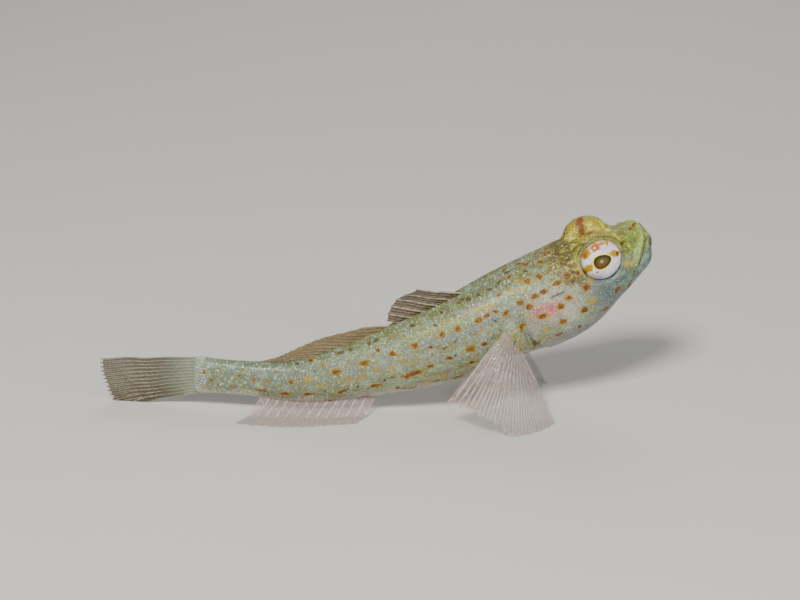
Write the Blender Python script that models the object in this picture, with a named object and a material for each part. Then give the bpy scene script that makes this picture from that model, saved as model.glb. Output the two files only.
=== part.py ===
"""A small marine goby, life size, resting on its pelvic disc, breast fins and tail.

Metres, +Z up, the head towards +X and the fish's right flank towards -Y. Lengths below are in
millimetres and are multiplied by MM. The body is one lofted skin along a bent axis: a place on it
is s, the distance along the axis from the root of the tail fin, and phi, the angle round it from
the ridge of the back (0) over the right flank (pi / 2) to the belly (pi).
"""

import bpy
import bmesh
import numpy as np
from math import cos, pi, radians, sin
from mathutils import Matrix, Vector

MM = 0.001
TAU = 2 * pi
GAP = 0.3  # clearance between touching nodes

# The axis of the body: X, Y and Z of points from the root of the tail fin to the snout
ORIGIN_SHIFT = np.array((0.2, -2.1, 0.0))  # brings the bounding box over the origin
AXIS = np.array(
    (
        (-22.5, 0.9, 4.4),
        (-15.5, 0.2, 4.1),
        (-9.4, 0.0, 3.85),
        (-3.2, 0.0, 5.15),
        (3.0, 0.25, 6.9),
        (10.3, 1.1, 9.4),
        (16.5, 2.3, 12.2),
        (22.7, 3.7, 14.5),
        (28.5, 4.95, 17.3),
        (34.0, 6.1, 19.9),
    )
)

# Half sizes of the body against s: (s, above the axis, below the axis, half width)
BODY = (
    (-1.5, 2.5, 2.5, 0.75),
    (0.0, 2.4, 2.4, 0.95),
    (3.3, 2.2, 2.2, 1.15),
    (7.0, 2.25, 2.25, 1.35),
    (10.7, 2.5, 2.5, 1.6),
    (13.1, 2.8, 2.75, 1.8),
    (16.9, 3.3, 3.2, 2.1),
    (19.5, 3.6, 3.5, 2.35),
    (23.3, 4.1, 4.0, 2.85),
    (29.9, 4.9, 4.9, 3.8),
    (33.7, 5.2, 5.25, 4.25),
    (40.7, 5.55, 5.75, 4.85),
    (44.7, 5.75, 6.05, 5.2),
    (47.5, 5.75, 6.05, 5.4),
    (50.4, 5.7, 5.45, 5.25),
    (53.9, 4.75, 3.9, 4.65),
    (56.5, 3.98, 2.95, 4.0),
    (58.1, 3.62, 2.25, 3.45),
    (61.0, 3.45, 1.7, 3.0),
)
ROLL = ((-2.0, 0.0), (20.0, 2.0), (40.0, 7.0), (50.0, 10.0), (62.0, 10.0))  # degrees, back towards -Y
SNOUT_START, SNOUT_END = 58.0, 60.1  # the snout rounds off between these
SNOUT_POWER = 3.0  # the higher, the blunter
SECTION_POWER = 2.15  # 2 is an ellipse
RAKE, RAKE_START, RAKE_FULL = 0.3, 54.5, 59.0  # how far the snout leans forward for each mm of height
SIDES = 36  # points round the body
CHEEK_SHARE = 0.72  # of the head's length has rings at even steps, and the snout before it closer ones

# Where the body is parted
STEM_END = 23.0  # tail stem to trunk, behind the vent
GILL_EDGE = 41.3  # hindmost point of the gill cover
GILL_SWEEP = 4.6  # how far forward the edge runs to the nape and the throat
GILL_CURVE = 1.4
GILL_INSET = 0.22  # how far the trunk draws in to pass under the gill cover
GILL_LIP, GILL_LIP_SHARE = 0.088, 0.06  # the raised edge, and the share of the head it fades over
GILL_PARTING = 0.36  # along the axis, so that the slanted walls stay GAP apart
TAIL_CHAMFER, TAIL_CHAMFER_END = 0.3, 0.6  # the tail stem's hind edge is drawn in by this up to this s

# Head
EYE_S, EYE_SIDE, EYE_UP = 53.35, 3.05, 3.45  # centre of an eye
EYE_TILT = radians(8.5)  # the eyes look up from the sideways direction by this
EYE_AHEAD = radians(-1.5)  # and forwards, or backwards where it is below 0
EYE_RADIUS, EYE_DEPTH = 2.48, 1.75
ORBIT_LONG, ORBIT_TALL, ORBIT_DEPTH = 3.15, 3.45, 2.05  # half sizes of the swelling round an eye
ORBIT_SINK = 0.8  # its centre lies this far in behind the eye's
SOCKET_GAP = 0.25
GAPE_FRONT = (60.1, 2.8)  # along the axis and over it: the mouth line at the snout
GAPE_CORNER = (57.3, 0.2)  # and at the corner of the mouth
GAPE_OPEN, GAPE_DEPTH = 0.32, 0.75
GAPE_PAST, GAPE_WIDTH = 2.0, 12.0  # the cutter runs on past the snout by this, and its width
CORE_START = 52.0  # the core that the cutter spares runs from here to the snout
LIP_HEIGHT, LIP_WIDTH, LIP_OFFSET = 0.34, 0.42, 0.62
LIP_PAST, LIP_FADE = 0.9, 1.6  # the lips run on past the corner by this, fading over this length
NOSTRILS = ((57.45, radians(30)), (56.25, radians(32)))  # s and phi
NOSTRIL_RADIUS, NOSTRIL_HEIGHT = 0.36, 0.38
BORE_RADIUS, BORE_DEPTH = 0.17, 0.6

# Thickness of the fins, and how they lie on the floor
RAY_THICK, WEB_THICK = 0.82, 0.5  # fin sheet at a ray's crest and between two rays
TIP_SHARE = 0.55  # of these at the tips
LYING = 0.27  # a fin whose middle is lower than this lies flat on the floor
RESTING = 0.25  # height of the middle of such a fin
ROOT_DEPTH = 0.9  # how deep under the belly's skin the lower fins start


def curve_at(knots, s):
    """The smooth curve through rows of (s, value, ...) read at s, one row of values for each s."""
    knots = np.asarray(knots, float)
    at, value = knots[:, 0], knots[:, 1:]
    slope = np.gradient(value, at, axis=0)
    s = np.atleast_1d(np.asarray(s, float))
    i = np.clip(np.searchsorted(at, s) - 1, 0, len(at) - 2)
    step = (at[i + 1] - at[i])[:, None]
    t = (s[:, None] - at[i][:, None]) / step
    return (
        value[i] * (2 * t**3 - 3 * t**2 + 1)
        + slope[i] * step * (t**3 - 2 * t**2 + t)
        + value[i + 1] * (3 * t**2 - 2 * t**3)
        + slope[i + 1] * step * (t**3 - t**2)
    )


def unit(v):
    return v / np.linalg.norm(v, axis=-1, keepdims=True)


AXIS_S = np.concatenate(([0.0], np.cumsum(np.linalg.norm(np.diff(AXIS, axis=0), axis=1))))
AXIS_KNOTS = np.column_stack((AXIS_S, AXIS + ORIGIN_SHIFT))


def frame_at(s):
    """Centre, forward, up and right of the body at each s."""
    s = np.atleast_1d(np.asarray(s, float))
    centre = curve_at(AXIS_KNOTS, s)
    ahead = unit(curve_at(AXIS_KNOTS, s + 0.2) - curve_at(AXIS_KNOTS, s - 0.2))
    right = unit(np.cross(ahead, (0.0, 0.0, 1.0)))
    up = np.cross(right, ahead)
    roll = np.radians(curve_at(ROLL, s))
    return centre, ahead, up * np.cos(roll) + right * np.sin(roll), right * np.cos(roll) - up * np.sin(roll)


def frame_one(s):
    return [v[0] for v in frame_at(s)]


def snout_share(s):
    """1 on the body, falling to 0 at the tip of the snout as a round end does."""
    t = np.clip((s - SNOUT_START) / (SNOUT_END - SNOUT_START), 0.0, 1.0)
    return np.sqrt(1 - t**SNOUT_POWER)


def rake_share(s):
    """0 on the body, rising along the snout to how far it leans forward for each millimetre of height."""
    t = np.clip((s - RAKE_START) / (RAKE_FULL - RAKE_START), 0.0, 1.0)
    return RAKE * t * t * (3 - 2 * t)


def body(s, phi, grow=0.0):
    """Points of the body's skin, or of that skin grown outwards."""
    s, phi = np.broadcast_arrays(np.asarray(s, float), np.asarray(phi, float))
    shape, s, phi = s.shape, s.ravel(), phi.ravel()
    centre, ahead, up, right = frame_at(s)
    above, below, side = curve_at(BODY, s).T
    round_off = snout_share(s)
    power = 2 / SECTION_POWER
    c = np.sign(np.cos(phi)) * np.abs(np.cos(phi)) ** power
    d = np.sign(np.sin(phi)) * np.abs(np.sin(phi)) ** power
    tall = np.where(c > 0, above, below) * round_off + grow
    wide = side * round_off + grow
    leaning = up + ahead * rake_share(s)[:, None]
    return (centre + leaning * (tall * c)[:, None] + right * (wide * d)[:, None]).reshape(*shape, 3)


def on_body(s, phi):
    """A point on the skin and the direction that is outwards there."""
    p = body(s, phi)
    along = body(s + 0.05, phi) - body(s - 0.05, phi)
    around = body(s, phi + 0.02) - body(s, phi - 0.02)
    normal = unit(np.cross(around, along))
    return p, normal if np.dot(normal, p - frame_one(s)[0]) > 0 else -normal


def lip_height(s, phi):
    """How far the lips stand out: a roll above and below the mouth line, thinning to its corner."""
    above, below, side = curve_at(BODY, s).T
    height = np.where(np.cos(phi) > 0, above, below) * snout_share(s) * np.cos(phi)
    front, corner = np.array(GAPE_FRONT), np.array(GAPE_CORNER)
    way = unit(corner - front)
    x, y = s + rake_share(s) * height - front[0], height - front[1]
    from_front = x * way[0] + y * way[1]
    off = x * way[1] - y * way[0]
    length = np.linalg.norm(corner - front)
    ends = np.clip((length + LIP_PAST - from_front) / LIP_FADE, 0, 1)
    return LIP_HEIGHT * ends * np.exp(-(((np.abs(off) - LIP_OFFSET) / LIP_WIDTH) ** 2))


def gill_edge(phi):
    """s of the hind edge of the gill cover at each angle."""
    return GILL_EDGE + GILL_SWEEP * (1 - np.abs(np.sin(phi)) ** GILL_CURVE)


# Meshes
def new_object(name, bm, where):
    bmesh.ops.recalc_face_normals(bm, faces=bm.faces)
    mesh = bpy.data.meshes.new(name)
    bm.to_mesh(mesh)
    bm.free()
    obj = bpy.data.objects.new(name, mesh)
    where.objects.link(obj)
    return obj


def bridge(bm, low, high):
    """Faces between two closed rings of vertices."""
    for j in range(len(low)):
        k = (j + 1) % len(low)
        bm.faces.new((low[j], low[k], high[k], high[j]))


def loft(name, rings, ends, where):
    """A closed skin over rings of points, with a fan to a point at each end."""
    bm = bmesh.new()
    rows = [[bm.verts.new(p * MM) for p in ring] for ring in rings]
    for low, high in zip(rows, rows[1:]):
        bridge(bm, low, high)
    for ring, end in zip((rows[0], rows[-1]), ends):
        tip = bm.verts.new(end * MM)
        for j in range(len(ring)):
            bm.faces.new((ring[j], ring[(j + 1) % len(ring)], tip))
    return new_object(name, bm, where)


def sheet(name, centre, thick, where, floor=False):
    """A fin: a grid of centre points, rays by rows, given a thickness across it.

    Both faces have the same triangles, so that a thin, curved sheet keeps its wall.
    """
    across = np.gradient(centre, axis=0)
    along = np.gradient(centre, axis=1)
    half = unit(np.cross(across, along)) * thick[..., None] / 2
    faces = [centre + half, centre - half]
    if floor:
        lower = min(range(2), key=lambda i: faces[i][:, -1, 2].mean())
        lies = centre[..., 2] < LYING
        faces[lower][..., 2] = np.where(lies, 0.0, np.maximum(faces[lower][..., 2], 0.0))
        upper = faces[1 - lower][..., 2]
        faces[1 - lower][..., 2] = np.where(lies, 2 * np.abs(half[..., 2]), np.maximum(upper, 0.0))
    bm = bmesh.new()
    front, back = ([[bm.verts.new(p * MM) for p in row] for row in face] for face in faces)
    rays, rows = thick.shape
    for grid in (front, back):
        for i in range(rays - 1):
            for j in range(rows - 1):
                bm.faces.new((grid[i][j], grid[i + 1][j], grid[i + 1][j + 1]))
                bm.faces.new((grid[i][j], grid[i + 1][j + 1], grid[i][j + 1]))
    border = [(i, 0) for i in range(rays)] + [(rays - 1, j) for j in range(1, rows)]
    border += [(i, rows - 1) for i in range(rays - 2, -1, -1)] + [(0, j) for j in range(rows - 2, 0, -1)]
    bridge(bm, [front[i][j] for i, j in border], [back[i][j] for i, j in border])
    return new_object(name, bm, where)


def fin_grid(rays, rows, point):
    """Centre points and thicknesses of a fin whose rays run by point(u, t)."""
    columns = 2 * rays - 1
    u = np.linspace(0, 1, columns)
    t = np.linspace(0, 1, rows)
    centre = np.array([[point(a, b) for b in t] for a in u])
    crest = np.where(np.arange(columns) % 2 == 0, RAY_THICK, WEB_THICK)[:, None]
    return centre, crest * (1 - (1 - TIP_SHARE) * t[None, :] ** 2)


def ball(name, centre, axes, radii, where, segments=24, rings=14):
    """An ellipsoid with its poles on the third of its axes."""
    bm = bmesh.new()
    bmesh.ops.create_uvsphere(bm, u_segments=segments, v_segments=rings, radius=1.0)
    turn = Matrix([list(a) for a in axes]).transposed().to_4x4()
    scale = Matrix.Diagonal((*[r * MM for r in radii], 1.0))
    bmesh.ops.transform(bm, matrix=Matrix.Translation(Vector(centre * MM)) @ turn @ scale, verts=bm.verts)
    return new_object(name, bm, where)


def boolean(obj, other, operation, solver="EXACT"):
    """Applies a Boolean with an object or a collection and takes the other away."""
    modifier = obj.modifiers.new(operation.lower(), "BOOLEAN")
    modifier.operation = operation
    modifier.solver = solver
    if isinstance(other, bpy.types.Collection):
        modifier.operand_type = "COLLECTION"
        modifier.collection = other
        spent = list(other.objects)
    else:
        modifier.object = other
        spent = [other]
    bpy.context.view_layer.update()
    made = bpy.data.meshes.new_from_object(obj.evaluated_get(bpy.context.evaluated_depsgraph_get()))
    obj.modifiers.clear()
    obj.data = made
    for old in spent:
        bpy.data.objects.remove(old)
    keep_largest(obj)


def keep_largest(obj):
    """Leaves only the largest closed surface of an object."""
    bm = bmesh.new()
    bm.from_mesh(obj.data)
    bmesh.ops.remove_doubles(bm, verts=bm.verts, dist=2e-6)
    bm.verts.ensure_lookup_table()
    seen, shells = set(), []
    for start in bm.verts:
        if start.index in seen:
            continue
        shell, front = [], [start]
        seen.add(start.index)
        while front:
            vert = front.pop()
            shell.append(vert)
            for edge in vert.link_edges:
                other = edge.other_vert(vert)
                if other.index not in seen:
                    seen.add(other.index)
                    front.append(other)
        shells.append(shell)

    def reach(shell):
        points = np.array([v.co for v in shell])
        return np.linalg.norm(points.max(axis=0) - points.min(axis=0))

    largest = max(shells, key=reach)
    bmesh.ops.delete(bm, geom=[v for shell in shells if shell is not largest for v in shell], context="VERTS")
    bm.to_mesh(obj.data)
    bm.free()


# The body's three lengths
ROUND = np.linspace(0, TAU, SIDES + 1)[:-1]


def make_tail_stem(parts):
    stations = np.concatenate(([0.0, TAIL_CHAMFER_END], np.linspace(2.2, STEM_END - GAP, 11)))
    rings = [body(s, ROUND, grow=-TAIL_CHAMFER if s == 0 else 0.0) for s in stations]
    ends = frame_one(stations[0])[0], frame_one(stations[-1])[0]
    return loft("tail_stem", rings, ends, parts)


def make_trunk(parts, pieces):
    shares = np.linspace(0, 1, 15)
    edge = gill_edge(ROUND) - GILL_PARTING
    rings = []
    for share in shares:
        s = STEM_END + share * (edge - STEM_END)
        rings.append(body(s, ROUND, grow=-GILL_INSET * share**8))
    ends = frame_one(STEM_END)[0], frame_one(GILL_EDGE + 0.5 * GILL_SWEEP - GILL_PARTING)[0]
    trunk = loft("trunk", rings, ends, parts)
    for side in (1, -1):
        centre, axes = fin_lobe(side)
        ball("lobe", centre, axes, LOBE_RADII, pieces, segments=16, rings=10)
    boolean(trunk, pieces, "UNION")
    return trunk


def make_head(parts, pieces, cutters):
    cheeks = np.linspace(0, CHEEK_SHARE, 20)
    snout = CHEEK_SHARE + (1 - CHEEK_SHARE) * np.sin(np.linspace(0, pi / 2, 18)[1:-1])
    edge = gill_edge(ROUND)
    rings = []
    for share in (*cheeks, *snout):
        s = edge + share * (SNOUT_END - edge)
        lip = GILL_LIP * (1 - min(share / GILL_LIP_SHARE, 1.0))
        rings.append(body(s, ROUND, grow=lip_height(s, ROUND) + lip))
    ends = frame_one(GILL_EDGE + 0.5 * GILL_SWEEP)[0], frame_one(SNOUT_END)[0]
    head = loft("head", rings, ends, parts)
    for side in (1, -1):
        centre, axes = eye_place(side)
        radii = (ORBIT_LONG, ORBIT_TALL, ORBIT_DEPTH)
        ball("orbit", centre - axes[2] * ORBIT_SINK, axes, radii, pieces, 28, 14)
        for s, phi in NOSTRILS:
            nostril(s, side * phi, pieces, NOSTRIL_RADIUS, NOSTRIL_HEIGHT)
    boolean(head, pieces, "UNION")
    for side in (1, -1):
        centre, axes = eye_place(side)
        radii = (EYE_RADIUS + SOCKET_GAP, EYE_RADIUS + SOCKET_GAP, EYE_DEPTH + SOCKET_GAP)
        ball("socket", centre, axes, radii, cutters, 28, 14)
        for s, phi in NOSTRILS:
            nostril(s, side * phi, cutters, BORE_RADIUS, BORE_DEPTH)
    boolean(head, cutters, "DIFFERENCE")
    boolean(head, mouth_cutter(cutters), "DIFFERENCE")
    return head


def nostril(s, phi, where, radius, height):
    """A short cone standing half in and half out of the skin."""
    spot, normal = on_body(s, phi)
    bm = bmesh.new()
    turn = Vector(normal).to_track_quat("Z", "Y").to_matrix().to_4x4()
    bmesh.ops.create_cone(
        bm, cap_ends=True, segments=10, radius1=radius * 1.2 * MM, radius2=radius * MM, depth=2 * height * MM
    )
    bmesh.ops.transform(bm, matrix=Matrix.Translation(Vector(spot * MM)) @ turn, verts=bm.verts)
    return new_object("nostril", bm, where)


def mouth_cutter(where):
    """A thin plate in the plane of the gape, with the core of the head taken out of its middle."""
    front, corner = np.array(GAPE_FRONT), np.array(GAPE_CORNER)
    centre, ahead, up, right = frame_one(corner[0])
    shifted = [centre + ahead * (p[0] - corner[0]) + up * p[1] for p in (front, corner)]
    along = unit(shifted[0] - shifted[1])
    normal = np.cross(along, right)
    reach = np.linalg.norm(shifted[0] - shifted[1]) + GAPE_PAST
    bm = bmesh.new()
    bmesh.ops.create_cube(bm, size=1.0)
    turn = Matrix([list(a) for a in (along, right, normal)]).transposed().to_4x4()
    size = Matrix.Diagonal((reach * MM, GAPE_WIDTH * MM, GAPE_OPEN * MM, 1.0))
    middle = shifted[1] + along * (reach / 2)
    bmesh.ops.transform(bm, matrix=Matrix.Translation(Vector(middle * MM)) @ turn @ size, verts=bm.verts)
    plate = new_object("gape", bm, where)
    stations = np.linspace(CORE_START, SNOUT_END - GAPE_DEPTH, 11)[:-1]
    rings = [body(s, ROUND, grow=-GAPE_DEPTH) for s in stations]
    ends = frame_one(CORE_START)[0], frame_one(SNOUT_END - GAPE_DEPTH)[0]
    core = loft("core", rings, ends, where)
    boolean(plate, core, "DIFFERENCE")
    return plate


def eye_place(side):
    """Centre of an eye and its axes: forward, across and out along the line of sight."""
    centre, ahead, up, right = frame_one(EYE_S)
    out = right * side
    sight = out * cos(EYE_TILT) + up * sin(EYE_TILT)
    sight = unit(sight * cos(EYE_AHEAD) + ahead * sin(EYE_AHEAD))
    ahead = unit(ahead - sight * np.dot(ahead, sight))
    return centre + out * EYE_SIDE + up * EYE_UP, (ahead, np.cross(sight, ahead), sight)


def make_eye(name, side, parts):
    centre, axes = eye_place(side)
    return ball(name, centre, axes, (EYE_RADIUS, EYE_RADIUS, EYE_DEPTH), parts, 22, 12)


# Fins. In each, u runs along the root and t from the root to the tips.
D1_FRONT, D1_REAR, D1_SINK = 36.4, 27.0, 0.5
D1_LENGTH = ((0.0, 6.1), (0.35, 6.5), (0.7, 4.6), (1.0, 1.9))
D1_ANGLE = (radians(31), radians(27))
D2_FRONT, D2_REAR, D2_SINK = 25.8, 9.8, 0.3
D2_LENGTH = ((0.0, 3.2), (0.25, 5.2), (0.8, 6.0), (1.0, 4.6))
D2_ANGLE = (radians(20), radians(7))


def folded(front, rear, lengths, angles, sink):
    """A fin of the back laid towards the tail, its rays reaching under the skin by their own slope."""

    def point(u, t):
        s = front + (rear - front) * u
        _, ahead, up, _ = frame_one(s)
        angle = angles[0] + (angles[1] - angles[0]) * u
        way = -ahead * cos(angle) + up * sin(angle)
        below = sink / sin(angle)
        return body(s, 0.0) + way * ((curve_at(lengths, u)[0, 0] + below) * t - below)

    return point


CAUDAL_LENGTH, CAUDAL_ROOT = 12.6, 1.1  # of the middle ray, and how deep its root lies in the tail stem
CAUDAL_HALF, CAUDAL_SPREAD = 2.05, 1.35  # half height at the root, and how much it grows to the tips
CAUDAL_ROUND = (0.16, 0.05)  # how much shorter the outer rays are
CAUDAL_DROOP = radians(12)
CAUDAL_WAVE, CAUDAL_TURN = 0.5, 0.9  # how far it bows and turns aside


def caudal(u, t):
    """The tail fin: nearly parallel rays from the root, a rounded hind edge, the lowest on the floor."""
    centre, ahead, up, right = frame_one(0.0)
    v = 1 - 2 * u
    reach = CAUDAL_LENGTH * (1 - CAUDAL_ROUND[0] * v**2 - CAUDAL_ROUND[1] * v**4)
    height = v * (CAUDAL_HALF + CAUDAL_SPREAD * t) - reach * t * sin(CAUDAL_DROOP)
    wave = CAUDAL_WAVE * sin(pi * t) + CAUDAL_TURN * t**2
    return centre - ahead * (reach * t - CAUDAL_ROOT * (1 - t)) + up * height - right * wave


ANAL_FRONT, ANAL_REAR, ANAL_LENGTH = 22.3, 8.6, 7.4
ANAL_ROUND = 0.18  # how much shorter its end rays are
ANAL_ASIDE, ANAL_BACK = 0.8, 0.52  # how much of a ray's length runs to the right and how much tailwards
ANAL_FALL = 1.9  # the higher, the nearer the root the fin comes down to the floor


def anal(u, t):
    """The anal fin, pressed between the belly and the floor and laid out on the floor to the right."""
    s = ANAL_FRONT + (ANAL_REAR - ANAL_FRONT) * u
    root = body(s, pi, grow=-ROOT_DEPTH)
    _, ahead, _, right = frame_one(s)
    reach = ANAL_LENGTH * (1 - ANAL_ROUND + ANAL_ROUND * sin(pi * u)) * t
    drop = (root[2] - RESTING) * min(1.0, ANAL_FALL * t) ** 0.8
    p = root + right * (ANAL_ASIDE * reach) - ahead * (ANAL_BACK * reach)
    return np.array((p[0], p[1], root[2] - drop))


PELVIC_ROOT_S, PELVIC_REAR_X = 43.2, 9.6
PELVIC_ROOT_HALF, PELVIC_HALF = 1.5, 4.0  # half width at the root and of the disc
PELVIC_ROUND = 2.4  # how much shorter the outer rays are
PELVIC_TOUCH = 0.74  # the share of a ray where it meets the floor
PELVIC_CUP = 1.1  # how high the disc's sides rise


def pelvic(u, t):
    """The sucking disc of the joined pelvic fins, from the breast down and back to the floor."""
    v = 2 * u - 1
    root = body(PELVIC_ROOT_S - 0.5 * abs(v), pi, grow=-ROOT_DEPTH)
    rear_x = PELVIC_REAR_X + ORIGIN_SHIFT[0] + PELVIC_ROUND * v**2
    x = root[0] + (rear_x - root[0]) * t
    y = root[1] + v * (PELVIC_ROOT_HALF + (PELVIC_HALF - PELVIC_ROOT_HALF) * min(1.0, 1.25 * t))
    fall = min(1.0, t / PELVIC_TOUCH)
    cup = PELVIC_CUP * v**2 * sin(pi * min(1.0, t * 1.12))
    z = RESTING + (root[2] - RESTING) * (1 - fall**1.25) + cup
    return np.array((x, y, max(z, RESTING)))


LOBE_S, LOBE_PHI = 39.6, radians(97)
LOBE_RADII = (1.5, 2.6, 1.1)
FAN_RAYS = 15
FAN_TOP, FAN_BOTTOM = 2.0, -2.1  # ends of the root line, along the lobe
FAN_REAR = (8.6, 7.9, 3.4)  # tip of the uppermost ray: X, distance from the body's middle, Z
FAN_FRONT = (22.2, 6.6, RESTING)  # tip of the lowest ray
FAN_SWELL = 3.6  # how far the tips between them swing out
FAN_ROOT_OUT = 0.2  # the root line lies this far out from the middle of the lobe
FAN_BOW, FAN_BOW_SWELL = 0.9, 0.7  # how far the rays bow, at the fin's ends and more in its middle
FAN_BOW_WAY = (0.75, 0.35)  # outwards and upwards for each mm of bow
FAN_PRESS, FAN_PRESS_FROM, FAN_PRESS_OVER = 1.0, 0.35, 0.2  # how much, and from where, tips press down


def fin_lobe(side):
    """Centre and axes of the fleshy root of a breast fin: forward, along the root, outwards."""
    spot, normal = on_body(LOBE_S, side * LOBE_PHI)
    ahead = frame_one(LOBE_S)[1]
    ahead = unit(ahead - normal * np.dot(ahead, normal))
    lift = np.cross(normal, ahead)
    return spot, (ahead, lift if lift[2] > 0 else -lift, normal)


def pectoral(side):
    """A breast fin propped on the floor."""
    spot, axes = fin_lobe(side)
    middle = frame_one(LOBE_S)[0]

    def point(u, t):
        root = spot + axes[1] * (FAN_TOP + (FAN_BOTTOM - FAN_TOP) * u) + axes[2] * FAN_ROOT_OUT
        swell = sin(pi * u) ** 0.8
        x = FAN_REAR[0] + (FAN_FRONT[0] - FAN_REAR[0]) * u**0.8 + ORIGIN_SHIFT[0]
        y = middle[1] - side * (FAN_REAR[1] + (FAN_FRONT[1] - FAN_REAR[1]) * u + FAN_SWELL * swell)
        z = FAN_REAR[2] + (FAN_FRONT[2] - FAN_REAR[2]) * min(1.0, 1.9 * u)
        tip = np.array((x, y, z))
        bow = sin(pi * t) * (FAN_BOW + FAN_BOW_SWELL * swell)
        p = root + (tip - root) * t + np.array((0.0, -side * FAN_BOW_WAY[0] * bow, FAN_BOW_WAY[1] * bow))
        press = FAN_PRESS * t**6 * min(1.0, max(0.0, (u - FAN_PRESS_FROM) / FAN_PRESS_OVER))
        return np.array((p[0], p[1], max(p[2] - press, RESTING)))

    return point


# Materials: colour, roughness
FINISH = {
    "skin": ((0.42, 0.46, 0.33, 1.0), 0.35),
    "eye": ((0.70, 0.66, 0.42, 1.0), 0.12),
    "fin": ((0.62, 0.62, 0.50, 1.0), 0.4),
}


def finish(obj, kind):
    material = bpy.data.materials.get(kind)
    if material is None:
        colour, roughness = FINISH[kind]
        material = bpy.data.materials.new(kind)
        material.use_nodes = True
        shader = material.node_tree.nodes["Principled BSDF"]
        shader.inputs["Base Color"].default_value = colour
        shader.inputs["Roughness"].default_value = roughness
        shader.inputs["Metallic"].default_value = 0.0
    obj.data.materials.clear()
    obj.data.materials.append(material)
    if kind != "fin":
        obj.data.shade_smooth()


def clearance(where, lobes):
    """The whole body grown by the gap, which fins are cut back to."""
    rings = [body(s, ROUND, grow=GAP) for s in np.linspace(-GAP, SNOUT_END, 53)]
    cutter = loft("clearance", rings, (frame_one(-GAP)[0], frame_one(SNOUT_END + GAP)[0]), where)
    if lobes:
        for side in (1, -1):
            centre, axes = fin_lobe(side)
            ball("grown_lobe", centre, axes, [r + GAP for r in LOBE_RADII], lobes, 20, 12)
        boolean(cutter, lobes, "UNION")
    return cutter


def make_fin(name, parts, cutters, pieces, rays, rows, point, floor=False, lobes=False):
    centre, thick = fin_grid(rays, rows, point)
    fin = sheet(name, centre, thick, parts, floor)
    boolean(fin, clearance(cutters, pieces if lobes else None), "DIFFERENCE", "MANIFOLD")
    return fin


def main():
    for old in list(bpy.data.objects):
        bpy.data.objects.remove(old)
    parts, pieces, cutters = (bpy.data.collections.new(n) for n in ("goby", "pieces", "cutters"))
    for collection in (parts, pieces, cutters):
        bpy.context.scene.collection.children.link(collection)
    finish(make_tail_stem(parts), "skin")
    finish(make_trunk(parts, pieces), "skin")
    finish(make_head(parts, pieces, cutters), "skin")
    for name, side in (("eye_right", 1), ("eye_left", -1)):
        finish(make_eye(name, side, parts), "eye")
    fins = (
        ("first_dorsal_fin", 6, 7, folded(D1_FRONT, D1_REAR, D1_LENGTH, D1_ANGLE, D1_SINK), False, False),
        ("second_dorsal_fin", 15, 6, folded(D2_FRONT, D2_REAR, D2_LENGTH, D2_ANGLE, D2_SINK), False, False),
        ("caudal_fin", 13, 9, caudal, True, False),
        ("anal_fin", 13, 8, anal, True, False),
        ("pelvic_disc", 11, 11, pelvic, True, False),
        ("pectoral_fin_right", FAN_RAYS, 10, pectoral(1), True, True),
        ("pectoral_fin_left", FAN_RAYS, 10, pectoral(-1), True, True),
    )
    for name, rays, rows, point, floor, lobes in fins:
        finish(make_fin(name, parts, cutters, pieces, rays, rows, point, floor, lobes), "fin")


main()
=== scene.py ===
"""A small sea goby, life size, dressed for a museum case: skin with scales and spots, eyes and fins.

Laid out as a Blender add-on and run as a script. Lengths in the shape code are millimetres and
are multiplied by MM. A place on the body is s, the distance along its axis from the root of the
tail fin, and phi, the angle round it from the ridge of the back (0) over the right flank (pi / 2)
to the belly (pi). The left flank has phi below 0.
"""

from math import cos, pi, radians, sin, sqrt

import bpy
import bmesh
import numpy as np
from mathutils import Matrix, Vector


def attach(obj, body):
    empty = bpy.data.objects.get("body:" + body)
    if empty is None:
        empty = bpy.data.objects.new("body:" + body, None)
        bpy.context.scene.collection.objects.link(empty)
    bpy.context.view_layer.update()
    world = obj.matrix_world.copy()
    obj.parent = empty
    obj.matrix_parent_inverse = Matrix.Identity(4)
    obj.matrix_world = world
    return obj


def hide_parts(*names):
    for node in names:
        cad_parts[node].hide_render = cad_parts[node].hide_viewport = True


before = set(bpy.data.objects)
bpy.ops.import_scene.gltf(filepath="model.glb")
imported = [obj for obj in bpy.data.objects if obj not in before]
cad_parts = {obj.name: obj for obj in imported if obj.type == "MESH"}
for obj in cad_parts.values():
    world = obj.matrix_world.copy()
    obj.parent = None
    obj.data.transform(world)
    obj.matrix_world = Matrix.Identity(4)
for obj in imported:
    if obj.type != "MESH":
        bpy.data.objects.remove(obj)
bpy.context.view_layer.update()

bl_info = {
    "name": "Goby maker",
    "version": (1, 0, 0),
    "blender": (4, 5, 0),
    "location": "3D View > Sidebar > Goby",
    "description": "Builds the skin, eyes and fins of a small sea goby over its solids",
    "category": "Add Mesh",
}

MM = 0.001
BODY = "root"

# The body's shape, the same as its solids
ORIGIN_SHIFT = np.array((0.2, -2.1, 0.0))
AXIS = np.array(
    (
        (-22.5, 0.9, 4.4),
        (-15.5, 0.2, 4.1),
        (-9.4, 0.0, 3.85),
        (-3.2, 0.0, 5.15),
        (3.0, 0.25, 6.9),
        (10.3, 1.1, 9.4),
        (16.5, 2.3, 12.2),
        (22.7, 3.7, 14.5),
        (28.5, 4.95, 17.3),
        (34.0, 6.1, 19.9),
    )
)
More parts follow.
